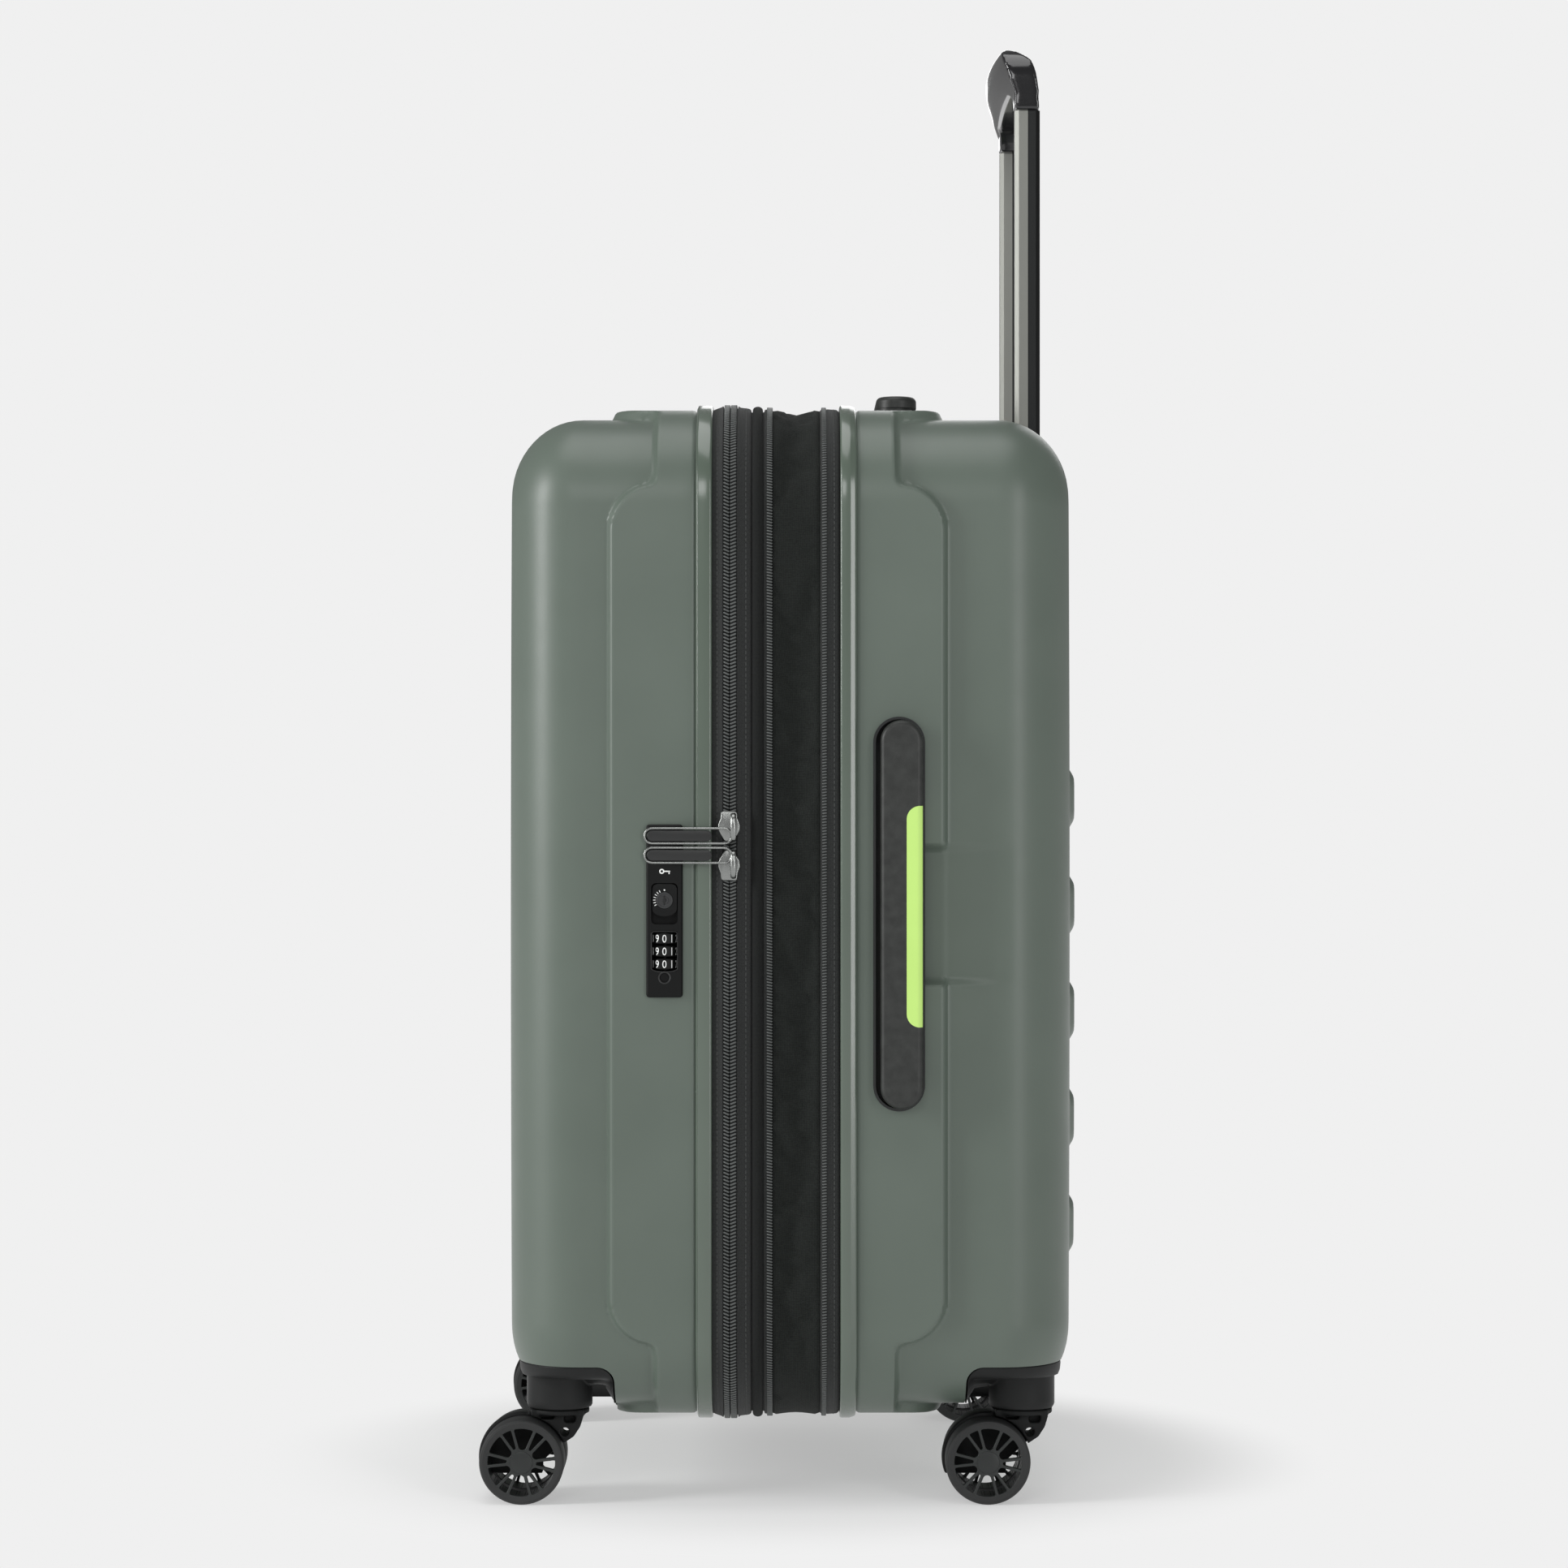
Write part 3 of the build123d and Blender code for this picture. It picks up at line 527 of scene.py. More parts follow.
def filled(points, gap):
    """Sorted points, with more added so that no two are further apart than gap."""
    points = sorted(set(round(float(p), 3) for p in points))
    points = points[:1] + [p for p, before in zip(points[1:], points) if p - before > LEAST_GAP]
    out = [points[0]]
    for point in points[1:]:
        parts = int(np.ceil((point - out[-1]) / gap - 1e-6))
        start = out[-1]
        out += [start + (point - start) * i / parts for i in range(1, parts + 1)]
    return out


CORE_Y, CORE_Z = HALF_Y - CORNER_R, HALF_Z - CORNER_R


def outline_ring(across, up, turns):
    """Round the case: core points and outward normals, as (y, z) from the case's middle.
    The point at an inset is core + normal * (CORNER_R - inset)."""
    cores, normals = [], []
    for quarter in range(4):
        angle = quarter * pi / 2
        normal = np.array([cos(angle), sin(angle)]).round(9)
        tangent = np.array([-normal[1], normal[0]])
        samples, reach = (up, CORE_Y) if quarter % 2 == 0 else (across, CORE_Z)
        end = CORE_Z if quarter % 2 == 0 else CORE_Y
        sign = tangent[1] if quarter % 2 == 0 else tangent[0]
        for value in sorted(sample * sign for sample in samples if abs(sample) < end - 0.01):
            cores.append(normal * reach + tangent * value)
            normals.append(normal)
        for turn in turns:
            swung = angle + radians(turn)
            cores.append(normal * reach + tangent * end)
            normals.append(np.array([cos(swung), sin(swung)]))
    return np.array(cores), np.array(normals)


def ring_points(ring, x, inset):
    """Points of a ring at one depth. inset is a number or one for each point."""
    cores, normals = ring
    flat = cores + normals * (CORNER_R - np.asarray(inset, float).reshape(-1, 1))
    xs = np.broadcast_to(np.asarray(x, float), (len(cores),))
    return np.column_stack([xs, flat[:, 0], flat[:, 1] + MID_Z])


def plain_ring(gap, count):
    """An outline with points gap millimetres apart and count of them round each corner."""
    return outline_ring(filled((-CORE_Y, CORE_Y), gap), filled((-CORE_Z, CORE_Z), gap),
                        np.linspace(0, 90, count))


COARSE = plain_ring(60.0, 19)
FINE = plain_ring(5.0, 21)
PERIMETER = 4 * (CORE_Y + CORE_Z) + 2 * pi * CORNER_R


def arc_lengths(ring):
    """Distance along the trims' outline to each point of a ring."""
    points = ring_points(ring, 0.0, 0.0)
    steps = np.linalg.norm(np.diff(points, axis=0, append=points[:1]), axis=1)
    return np.concatenate([[0.0], np.cumsum(steps)])


def hoop(name, profile, ring=COARSE, closed=True):
    """Sweeps a profile of (x, inset) points round the case."""
    rows = np.array([ring_points(ring, x, inset) for x, inset in profile])
    count = rows.shape[1]
    points = rows.transpose(1, 0, 2).reshape(-1, 3)
    faces = grid_faces(count, len(profile), close_rows=True, close_columns=closed)
    along = arc_lengths(ring)
    profile = np.array(profile + profile[:1], float)
    across = np.concatenate([[0.0], np.cumsum(np.linalg.norm(np.diff(profile, axis=0), axis=1))])
    columns = len(profile) - 1 if closed else len(profile) - 2
    u = np.repeat(np.arange(count), columns)
    v = np.tile(np.arange(columns), count)
    uv = np.stack([along[u], across[v], along[u], across[v + 1], along[u + 1], across[v + 1],
                   along[u + 1], across[v]], -1)
    item = to_mesh(name, points, faces, uv)
    rework(item, face_outward)
    item.data.set_sharp_from_angle(angle=radians(50))
    return item


def places_round(pitch, inset, x, skip=None):
    """Evenly spaced places round the case, each with (depth, along, outward) axes."""
    count = int(round(PERIMETER / pitch))
    straight = [(CORE_Z, 0), (CORE_Y, 1), (CORE_Z, 2), (CORE_Y, 3)]
    places, matrices = [], []
    for index in range(count):
        along = index * PERIMETER / count
        for half, quarter in straight:
            angle = quarter * pi / 2
            length = 2 * half
            if along <= length:
                core, swung = along - half, angle
                break
            along -= length
            if along <= CORNER_R * pi / 2:
                core, swung = half, angle + along / CORNER_R
                break
            along -= CORNER_R * pi / 2
        reach = CORE_Y if quarter % 2 == 0 else CORE_Z
        base = np.array([cos(angle), sin(angle)]) * reach + np.array([-sin(angle), cos(angle)]) * core
        normal = np.array([cos(swung), sin(swung)])
        spot = base + normal * (CORNER_R - inset)
        if skip is not None and skip(*spot):
            continue
        places.append((x, spot[0], spot[1] + MID_Z))
        matrices.append([(1, 0, 0), (0, -normal[1], normal[0]), (0, normal[0], normal[1])])
    return places, matrices


def over_hinge(y, z):
    """True where the fabric hinge covers the zip."""
    return y > CORE_Y and abs(z) < HINGE_HALF_LENGTH - HINGE_OVERLAP


# ======================================================================== camera, light
# Places and sizes here are in metres, except for the floor's reach.
LENS, SENSOR = 95.31, 36.0
CAMERA_PLACE = (0.0028, -2.725, 0.4406)
BACKDROP = (0.871, 0.871, 0.871, 1)
AMBIENT = 0.2
FLOOR_REACH = 30000.0
FLOOR_GLOW = 0.4
FLOOR_FADE = (0.24, 0.36)          # where the floor goes over into the surround
SOFT_BOXES = (                     # name, place, height of its target, size, power
    ("key", (-3.0, -1.15, 1.35), 0.5, (0.9, 1.7), 66),
    ("front", (1.75, -2.7, 0.95), 0.5, (0.6, 2.3), 22),
    ("fill", (-0.6, -3.6, 1.9), 0.4, (1.4, 1.0), 18),
    ("top", (-0.2, -0.4, 3.0), 0.4, (2.0, 2.0), 26),
    ("back", (0.6, 2.6, 1.8), 0.4, (1.6, 1.2), 12))


def area_light(name, location, target, size, power):
    """A soft box that faces a target."""
    data = bpy.data.lights.new(name, "AREA")
    data.shape = "RECTANGLE"
    data.size, data.size_y = size
    data.energy = power
    lamp = added(name, data)
    lamp.location = location
    lamp.rotation_euler = (Vector(target) - Vector(location)).to_track_quat("-Z", "Y").to_euler()


def studio():
    """Camera, pale floor, soft boxes and a pale surround."""
    scene = bpy.context.scene
    scene.view_settings.view_transform = "Standard"
    data = bpy.data.cameras.new("camera")
    data.lens = LENS
    data.sensor_width = SENSOR
    camera = added("camera", data)
    camera.location = CAMERA_PLACE
    camera.rotation_euler = (radians(90), 0, 0)
    scene.camera = camera

    world = bpy.data.worlds.new("surround")
    world.use_nodes = True
    tree = world.node_tree
    background = tree.nodes["Background"]
    background.inputs["Color"].default_value = BACKDROP
    lit = tree.nodes.new("ShaderNodeBackground")
    lit.inputs["Color"].default_value = (1, 1, 1, 1)
    lit.inputs["Strength"].default_value = AMBIENT
    ray = tree.nodes.new("ShaderNodeLightPath")
    mixed = tree.nodes.new("ShaderNodeMixShader")
    tree.links.new(ray.outputs["Is Camera Ray"], mixed.inputs[0])
    tree.links.new(lit.outputs[0], mixed.inputs[1])
    tree.links.new(background.outputs[0], mixed.inputs[2])
    tree.links.new(mixed.outputs[0], tree.nodes["World Output"].inputs["Surface"])
    scene.world = world

    for name, location, height, size, power in SOFT_BOXES:
        area_light(name, location, (0, 0, height), size, power)

    corners = ((-1, -1, 0), (1, -1, 0), (1, 1, 0), (-1, 1, 0))
    floor = to_mesh("floor", np.array(corners) * FLOOR_REACH, [(0, 1, 2, 3)])
    floor.data.materials.append(floor_finish())


def floor_finish():
    """Pale floor that catches the soft shadow and fades into the surround further out."""
    finish = Finish("pale_floor", (196, 196, 196), 0.9, Specular_IOR_Level=0.0)
    tree = finish.tree
    length = tree.nodes.new("ShaderNodeVectorMath")
    length.operation = "LENGTH"
    tree.links.new(finish.coordinates, length.inputs[0])
    reach = finish.add("ShaderNodeMapRange", Value=length.outputs["Value"])
    finish.set(reach.node, "From Min", FLOOR_FADE[0])
    finish.set(reach.node, "From Max", FLOOR_FADE[1])
    reach.node.interpolation_type = "SMOOTHSTEP"
    glow = tree.nodes.new("ShaderNodeEmission")
    glow.inputs["Color"].default_value = BACKDROP
    mixed = tree.nodes.new("ShaderNodeMixShader")
    tree.links.new(reach, mixed.inputs[0])
    tree.links.new(finish.shader.outputs[0], mixed.inputs[1])
    tree.links.new(glow.outputs[0], mixed.inputs[2])
    tree.links.new(mixed.outputs[0], tree.nodes["Material Output"].inputs["Surface"])
    finish.set(finish.shader, "Emission Color", (1, 1, 1, 1))
    finish.set(finish.shader, "Emission Strength", FLOOR_GLOW)
    return finish.material


studio()

# ======================================================================== shells
Spec = namedtuple("Spec", "name edge lip narrow wide face panels way")
SEAM_STEPS = (-0.8, 0.45, 0.65, 0.9, 1.2, 1.6, 3.0)     # across the seam beside a trim
BAND_BLEND = 7.0                   # rounds the inner corners of the raised band's outline
BAND_START = 60.0                  # how far that outline reaches back behind the open edge
SCOOP_R = 14.0
SEAM_DEPTH = 1.0
SEAM_ROUND = 1.5
front_shell_low, front_shell_high = span("front_shell")
rear_shell_low, rear_shell_high = span("rear_shell")
RIB_HEIGHT = 3.7
RECESS_DEPTH = 2.6
# edge: its open edge; lip: the trim's outer end; narrow and wide: ends of the raised band and
# of the tablet; face: its face; panels: how far they stand out; way: -1 or 1 along X.
FRONT = Spec("front", front_shell_high[0], trim_low[0], -75.2, -103.0, front_shell_low[0],
             -RECESS_DEPTH, -1)
REAR = Spec("rear", rear_shell_low[0], rear_trim_high[0], 71.0, 100.5,
            rear_shell_high[0] - RIB_HEIGHT, RIB_HEIGHT, 1)


def rounded_box(a, b, half_a, half_b, radius):
    """Signed distance to a rounded rectangle about the origin, negative inside."""
    qa, qb = np.abs(a) - half_a + radius, np.abs(b) - half_b + radius
    outside = np.hypot(np.maximum(qa, 0), np.maximum(qb, 0))
    return outside + np.minimum(np.maximum(qa, qb), 0) - radius


def soft_min(a, b, soft):
    """The smaller of two distances, blended where they are alike."""
    mix = np.clip(0.5 + 0.5 * (b - a) / soft, 0, 1)
    return b + (a - b) * mix - soft * mix * (1 - mix)


def ease(value):
    """Smooth step of a value clipped to 0...1."""
    value = np.clip(value, 0, 1)
    return value * value * (3 - 2 * value)


def raised(spec, x, y, z):
    """How far a shell's wall stands out, from 0 to 1, at (x, y, z from the middle)."""
    beyond = spec.way * x
    start = spec.way * spec.edge - BAND_START
    half = (spec.way * spec.wide - start) / 2
    end_z = HALF_Z - RAISED_INSET - TABLET_MARGIN
    end_y = HALF_Y - RAISED_INSET - TABLET_MARGIN
    narrow = beyond - spec.way * spec.narrow
    side = rounded_box(beyond - start - half, z, half, end_z, TABLET_R)
    top = rounded_box(beyond - start - half, y, half, end_y, TABLET_R)
    distance = soft_min(soft_min(side, top, BAND_BLEND), narrow, BAND_BLEND)
    return ease(0.5 - distance / STEP_SOFT)


def scooped(spec, x, y, z):
    """The finger dip beside the side handle, from 0 to 1."""
    if spec.way < 0:
        return np.zeros_like(z)
    mid_x, mid_z = sum(SCOOP_X) / 2, sum(SCOOP_Z) / 2 - MID_Z
    half_x, half_z = (SCOOP_X[1] - SCOOP_X[0]) / 2, (SCOOP_Z[1] - SCOOP_Z[0]) / 2
    distance = rounded_box(x - mid_x, z - mid_z, half_x, half_z, SCOOP_R)
    fade = ease((SCOOP_X[1] - x) / SCOOP_FADE)
    return ease(0.5 - distance / SCOOP_SOFT) * fade * (y < 0)


def panels(spec, y, z):
    """Height of the face panels at (y, z from the middle)."""
    height = np.zeros_like(z)
    for panel_z in PANEL_Z:
        distance = rounded_box(y, z + MID_Z - panel_z, *PANEL_HALF, PANEL_R)
        height = np.maximum(height, ease(0.5 - distance / PANEL_SOFT))
    return spec.panels * height


# Where the shells' meshes are denser, as distances from what is drawn there.
CORNER_SAMPLES = np.arange(1.3, TABLET_R - 7, 1.3)
PANEL_SIDE_SAMPLES = (-2.4, -1.2, 0.0, 1.2, 2.4, 4.2, 6.5, 9.0)
PANEL_END_SAMPLES = (0.0, 1.2, 2.4, 4.0, 6.0, 9.0)
SCOOP_SAMPLES = (-4.5, -3.0, -1.5, 0.0, 1.5, 3.0, 4.5)
CORNER_TURNS = [0, 1.2, 2.4, 3.6, 4.8, 6, 7.2, 8.4, 9.6, 10.8, 12, 14, 17, 22, 28, 34, 40]
UP_GAP, ACROSS_GAP = 9.0, 11.0
FACE_INSETS = (58.0, 61.0, CORNER_R)


def face_samples(spec):
    """Places across and up the case where the shell's mesh has points."""
    across = [side * (CORE_Y - d) for d in (0, *CORNER_SAMPLES) for side in (-1, 1)]
    up = [side * (CORE_Z - d) for d in (0, *CORNER_SAMPLES) for side in (-1, 1)]
    for side in (-1, 1):
        across += [side * (PANEL_HALF[0] - d) for d in PANEL_END_SAMPLES]
        for z in PANEL_Z:
            up += [z + side * PANEL_HALF[1] - MID_Z - side * d for d in PANEL_SIDE_SAMPLES]
    if spec is REAR:
        for edge, side in zip(SCOOP_Z, (-1, 1)):
            up += [edge - MID_Z + side * d for d in SCOOP_SAMPLES]
    return filled(across, ACROSS_GAP), filled(up, UP_GAP)


def shell_skin(spec):
    """One shell, from its open edge over the rounded face edge to the middle of its face."""
    across, up = face_samples(spec)
    turns = CORNER_TURNS + [45] + [90 - turn for turn in CORNER_TURNS[::-1]]
    cores, normals = outline_ring(across, up, turns)

    straight_end = spec.face - spec.way * FACE_FILLET
    lip = spec.way * spec.lip
    stops = filled([spec.way * spec.edge, spec.way * spec.narrow - 5] + [lip + d for d in SEAM_STEPS], 6.0)
    stops += filled((spec.way * spec.narrow - 3.8, spec.way * spec.wide + 5), 1.25)
    stops += filled((spec.way * spec.wide + 6.5, spec.way * straight_end), 3.2)
    rows = [(spec.way * stop, LOW_INSET) for stop in stops]
    for turn in np.linspace(0, 90, 15)[1:]:
        rows.append((straight_end + spec.way * FACE_FILLET * sin(radians(turn)),
                     LOW_INSET + FACE_FILLET * (1 - cos(radians(turn)))))
    rows += [(spec.face, inset) for inset in FACE_INSETS]

    points = []
    for x, inset in rows:
        flat = cores + normals * (CORNER_R - inset)
        y, z = flat[:, 0], flat[:, 1]
        out = np.zeros(len(y))
        if inset == LOW_INSET:
            dip = scooped(spec, x, y, z)
            out = (LOW_INSET - RAISED_INSET) * raised(spec, x, y, z)
            out = out * (1 - dip) - dip * (SCOOP_INSET - LOW_INSET)
        out = out - SEAM_DEPTH * (1 - ease((spec.way * x - lip - SEAM_STEPS[1]) / SEAM_ROUND))
        ring_x = np.full(len(y), x) + face_shift(spec, x, y, z)
        points.append(np.column_stack([ring_x, y + normals[:, 0] * out, z + normals[:, 1] * out + MID_Z]))
    points = np.concatenate(points)
    faces = [tuple(f) for f in grid_faces(len(rows), len(cores), close_columns=True)]

    ys, zs = np.meshgrid(across, up, indexing="ij")
    ys, zs = ys.ravel(), zs.ravel()
    face_x = np.full(len(ys), spec.face) + face_shift(spec, spec.face, ys, zs)
    middle_points = np.column_stack([face_x, ys, zs + MID_Z])
    middle_faces = grid_faces(len(across), len(up)) + len(points)
    points = np.concatenate([points, middle_points])
    faces += [tuple(f) for f in middle_faces]

    skin = tidy(to_mesh(f"{spec.name}_shell_skin", points, faces), 80.0)
    return thicken(skin, SHELL_WALL)


def face_shift(spec, x, y, z):
    """Crown of the face, and its ribs or recesses, as a shift along X."""
    rise = ease(np.clip((spec.way * (x - spec.face) + FACE_FILLET) / FACE_FILLET, 0, 1))
    bulge = (1 - (y / HALF_Y) ** 2) * (1 - (z / HALF_Z) ** 2)
    shift = -CROWN * (1 - bulge) * rise
    if abs(x - spec.face) < 0.01:
        shift = shift + panels(spec, y, z)
    return spec.way * shift


def stadium_pad(length, width, low, high):
    """A bar with round ends along its first axis."""
    return pad("pad", length, width, width / 2 - 0.01, low, high, steps=14)


side_strap = middle("side_handle_strap")
CUP = (238.0, 31.3)
LOCK_R = 1.9
TUBES_X = 157.0
TUBE_HALF = 7.7                    # half an outer tube's width
TUBE_HOLE = (19.0, 15.0, 2.6)
STRAP_OFFSET = 1.3
CUP_X = side_strap[0] - STRAP_OFFSET
WALL_Y = HALF_Y - RAISED_INSET
WALL_TOP = MID_Z + HALF_Z - RAISED_INSET
SIDE_PLANE = ((CUP_X, -WALL_Y, side_strap[2]), (0, 0, -1), (0, -1, 0))
TOP_PLANE = ((CUP_X, 0.0, WALL_TOP), (0, -1, 0), (0, 0, 1))
lock_low, lock_high = span("lock_body")
LOCK = (lock_high[2] - lock_low[2], lock_high[0] - lock_low[0])
LOCK_PLANE = (((lock_low[0] + lock_high[0]) / 2, -WALL_Y, (lock_low[2] + lock_high[2]) / 2),
              (0, 0, -1), (0, -1, 0))


def shells():
    """Both shells, with openings for the lock, the handle trays, the tubes and the casters."""
    front = shell_skin(FRONT)
    cut(front, placed(pad("cutter", LOCK[0] - 0.4, LOCK[1] - 0.4, LOCK_R, -16, 8), *LOCK_PLANE),
        *cover_cutters(FRONT))
    rear = shell_skin(REAR)
    holes = [placed(stadium_pad(CUP[0] - 0.2, CUP[1] - 0.2, -14, 12), *plane)
             for plane in (SIDE_PLANE, TOP_PLANE)]
    tubes_reach = span("outer_tubes")[1][1]
    for side in (-1, 1):
        hole = pad("cutter", *TUBE_HOLE, 0, 90)
        spot = (TUBES_X, side * (tubes_reach - TUBE_HALF), MID_Z + HALF_Z - 60)
        holes.append(placed(hole, spot, (1, 0, 0), (0, 0, 1)))
    cut(rear, *holes, *cover_cutters(REAR))
    for item, spec in ((front, FRONT), (rear, REAR)):
        tidy(item, 38.0)
        dress(item, green_shell, f"{spec.name}_half", "shell_green", f"{spec.name}_shell")


# ======================================================================== trims and tapes
def trims():
    """Moulded frames: a flat land beside the fabric, a slope towards the shell, round edges."""
    for name, inner, outer, way, slope in (("front_trim", trim_high[0], trim_low[0], -1, 7.9),
                                           ("rear_trim", rear_trim_low[0], rear_trim_high[0], 1, 5.9)):
        start, end = slope + 0.5, abs(outer - inner) - 1.0
        bevel_line = [(inner + way * x, 0.12 + (x - start) * tan(BEVEL_TILT))
                      for x in (start, start + BEVEL_HOLD, end - BEVEL_HOLD, end)]
        profile = [(inner, 6.7), (inner, 1.3), (inner + way * 0.3, 0.55), (inner + way * 0.9, 0.12),
                   (inner + way * 1.5, 0.0), (inner + way * slope, 0.0), *bevel_line,
                   (outer - way * 0.4, 1.4), (outer - way * 0.08, 2.0), (outer, 2.4), (outer, 4.4),
                   (inner + way * TRIM_WEB, 4.4), (inner + way * TRIM_WEB, 6.7)]
        body = name.replace("trim", "half")
        dress(hoop(f"{name}_hoop", profile), green_trim, body, "trim_green", name)


def tooth(length, radius, slant):
    """One turn of a coil: a slanted bar, flattened a little."""
    points, faces = capsule(length, radius, 6, 0.9)
    turn = radians(slant)
    return [(x * cos(turn) - y * sin(turn), x * sin(turn) + y * cos(turn), z) for x, y, z in points], faces


def coil(name, x, pitch, length, radius, slant, inset, body, skip=None):
    """One side of a coil zip: a slanted bar for each turn of the coil."""
    places, matrices = places_round(pitch, inset, x, skip)
    teeth = repeated(name, *tooth(length, radius, slant), places, matrices)
    dress(teeth, teeth_black, body, "black_fabric")


def tapes():
    """The woven tapes of the main zip and of the expansion zip, and their piping."""
    front_edge = trim_high[0]
    back_edge = rear_trim_low[0]
    zip_x = MAIN_ZIP_X
    base = TAPE_INSET
    front = [(front_edge, base), (front_edge, 3.0), (front_edge + 1.2, 2.4), (-35.6, 1.0), (-34.9, 0.5),
             (-34.3, 0.5), (-33.9, 1.9), (-31.0, 1.9), (zip_x - 0.2, 2.2), (zip_x - 0.2, base)]
    dress(hoop("front_tape", front), tape_black, "front_half", "black_fabric", "front_zip_tape")
    band = [(zip_x + 0.2, base), (zip_x + 0.2, 2.2), (-29.4, 1.9), (-25.6, 1.9), (-25.2, 0.5),
            (-24.6, 0.6), (-23.9, 1.2), (-18.6, 1.9), (-17.5, 2.6), (-17.0, 4.2), (-16.5, 4.2),
            (-10.6, 4.2), (-9.4, 4.0), (-9.0, 2.6), (-8.2, 2.4), (-5.2, 2.4), (-4.7, 2.9), (-4.6, 4.4),
            (-4.9, 5.0), (-4.9, base)]
    dress(hoop("middle_tape", band), tape_black, "middle", "black_fabric", "middle_band")
    bead = [(-13.3 + 3.1 * cos(t), 2.9 - 2.3 * sin(t)) for t in np.linspace(0, 2 * pi, 17)[:-1]]
    dress(hoop("middle_piping", bead), piping_black, "middle", "black_fabric")
    rear = [(24.6, base), (24.6, 4.6), (25.0, 3.0), (25.8, 2.5), (28.7, 2.4), (29.4, 2.2), (35.0, 2.6),
            (back_edge - 0.7, 3.4), (back_edge, 4.4), (back_edge, base)]
    dress(hoop("rear_tape", rear), tape_black, "rear_half", "black_fabric", "rear_band")
    coil("zip_coil_front", zip_x - 1.75, MAIN_PITCH, 3.9, 0.6, 24, 0.15, "front_half", over_hinge)
    coil("zip_coil_middle", zip_x + 2.35, MAIN_PITCH, 4.1, 0.6, -22, 0.15, "middle", over_hinge)
    coil("expansion_coil_front", -5.9, EXPANSION_PITCH, 3.6, 0.5, 12, 1.55, "middle")
    coil("expansion_coil_rear", 27.2, EXPANSION_PITCH, 2.9, 0.5, -10, 1.55, "rear_half")
    for name, x, inset, body in (("stitches_front", -37.6, 1.75, "front_half"),
                                 ("stitches_middle", -20.2, 1.72, "middle"),
                                 ("stitches_rear", 33.2, 2.45, "rear_half")):
        places, matrices = places_round(STITCH_PITCH, inset, x)
        points, faces = capsule(2.3, 0.22, 6)
        points = [(y, x_along, z) for x_along, y, z in points]
        dress(repeated(name, points, faces, places, matrices), thread_grey, body, "black_fabric")


trims()
tapes()


GUSSET_COLUMNS = 9                 # points across the band
GUSSET_TUCK = 0.6                  # how far it reaches under the tapes
GUSSET_INSET = 3.9                 # at its edges
GUSSET_SAG = 2.2                   # how much deeper its middle lies
GUSSET_THICK = 0.8
WANDER, CREASE = 1.2, 0.9          # first bulges of the cloth, along the band and across it
CLOTH_FRAMES = 20
CLOTH_REACH = 2.4                  # the furthest that a point moves from the smooth band


def gusset():
    """The expansion gusset: a loose band of cloth sewn at both edges, wrinkled by a cloth simulation."""
    x0, x1 = GUSSET_X
    count = GUSSET_COLUMNS
    steps = np.linspace(0, 1, count)
    profile = [(x0 - GUSSET_TUCK + (x1 - x0 + 2 * GUSSET_TUCK) * s, GUSSET_INSET + GUSSET_SAG * sin(pi * s))
               for s in steps]
    cloth = hoop("expansion_gusset_cloth", profile, FINE, closed=False)
    rework(cloth, turn_over)
    rest = vertices(cloth)
    generator = np.random.default_rng(7)
    columns = len(rest) // count
    wander = np.cumsum(generator.normal(0, 1, columns))
    wander -= np.linspace(0, wander[-1], columns)
    wander /= np.abs(wander).max()
    loose = np.repeat(wander, count)
    creases = np.sin(2.6 * pi * np.tile(steps, columns) + 9.0 * loose)
    bulge = np.tile(np.sin(pi * steps), columns) * (WANDER * loose + CREASE * creases) * MM
    centre = np.array([0, 0, MID_Z * MM])
    outward = rest - centre
    outward[:, 0] = 0
    outward /= np.linalg.norm(outward, axis=1)[:, None]
    move_vertices(cloth, rest + outward * bulge[:, None])
    held = cloth.vertex_groups.new(name="held")
    edges = [i for i in range(len(rest)) if i % count in (0, count - 1)]
    held.add(edges, 1.0, "REPLACE")
    modifier = cloth.modifiers.new("cloth", "CLOTH")
    settings = modifier.settings
    settings.quality = 6
    settings.mass = 0.15
    settings.tension_stiffness = 18
    settings.compression_stiffness = 12
    settings.bending_stiffness = 0.12
    settings.vertex_group_mass = "held"
    settings.shrink_min = -0.07
    modifier.collision_settings.use_collision = False
    scene = bpy.context.scene
    scene.frame_start = 1
    for number in range(1, CLOTH_FRAMES + 1):
        scene.frame_set(number)
    bake(cloth)
    scene.frame_set(1)
    shift = vertices(cloth) - rest
    length = np.linalg.norm(shift, axis=1)
    cap = CLOTH_REACH * MM
    shift *= (cap * np.tanh(length / cap) / np.maximum(length, 1e-9))[:, None]
    move_vertices(cloth, rest + shift)
    thicken(cloth, GUSSET_THICK, 0)
    shade_smooth(cloth)
    dress(cloth, gusset_black, None, "black_fabric", "expansion_gusset")
    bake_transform(cloth)


gusset()


# ======================================================================== small shapes
def polylines(name, dimensions, outlines, closed=True):
    """Curve data of straight lines between points."""
    data = bpy.data.curves.new(name, "CURVE")
    data.dimensions = dimensions
    for outline in outlines:
        spline = data.splines.new("POLY")
        spline.points.add(len(outline) - 1)
        for point, place in zip(spline.points, outline):
            x, y, z = (*place, 0)[:3]
            point.co = (x * MM, y * MM, z * MM, 1)
        spline.use_cyclic_u = closed
    return data


def plate(name, outlines, thick, edge):
    """A flat plate about the XY plane: the first outline is its rim, the others are holes."""
    data = polylines(name, "2D", outlines)
    data.fill_mode = "BOTH"
    data.extrude = (thick / 2 - edge) * MM
    data.bevel_depth = edge * MM
    data.bevel_resolution = 2
    data.offset = -edge * MM
    return from_curve(name, data)


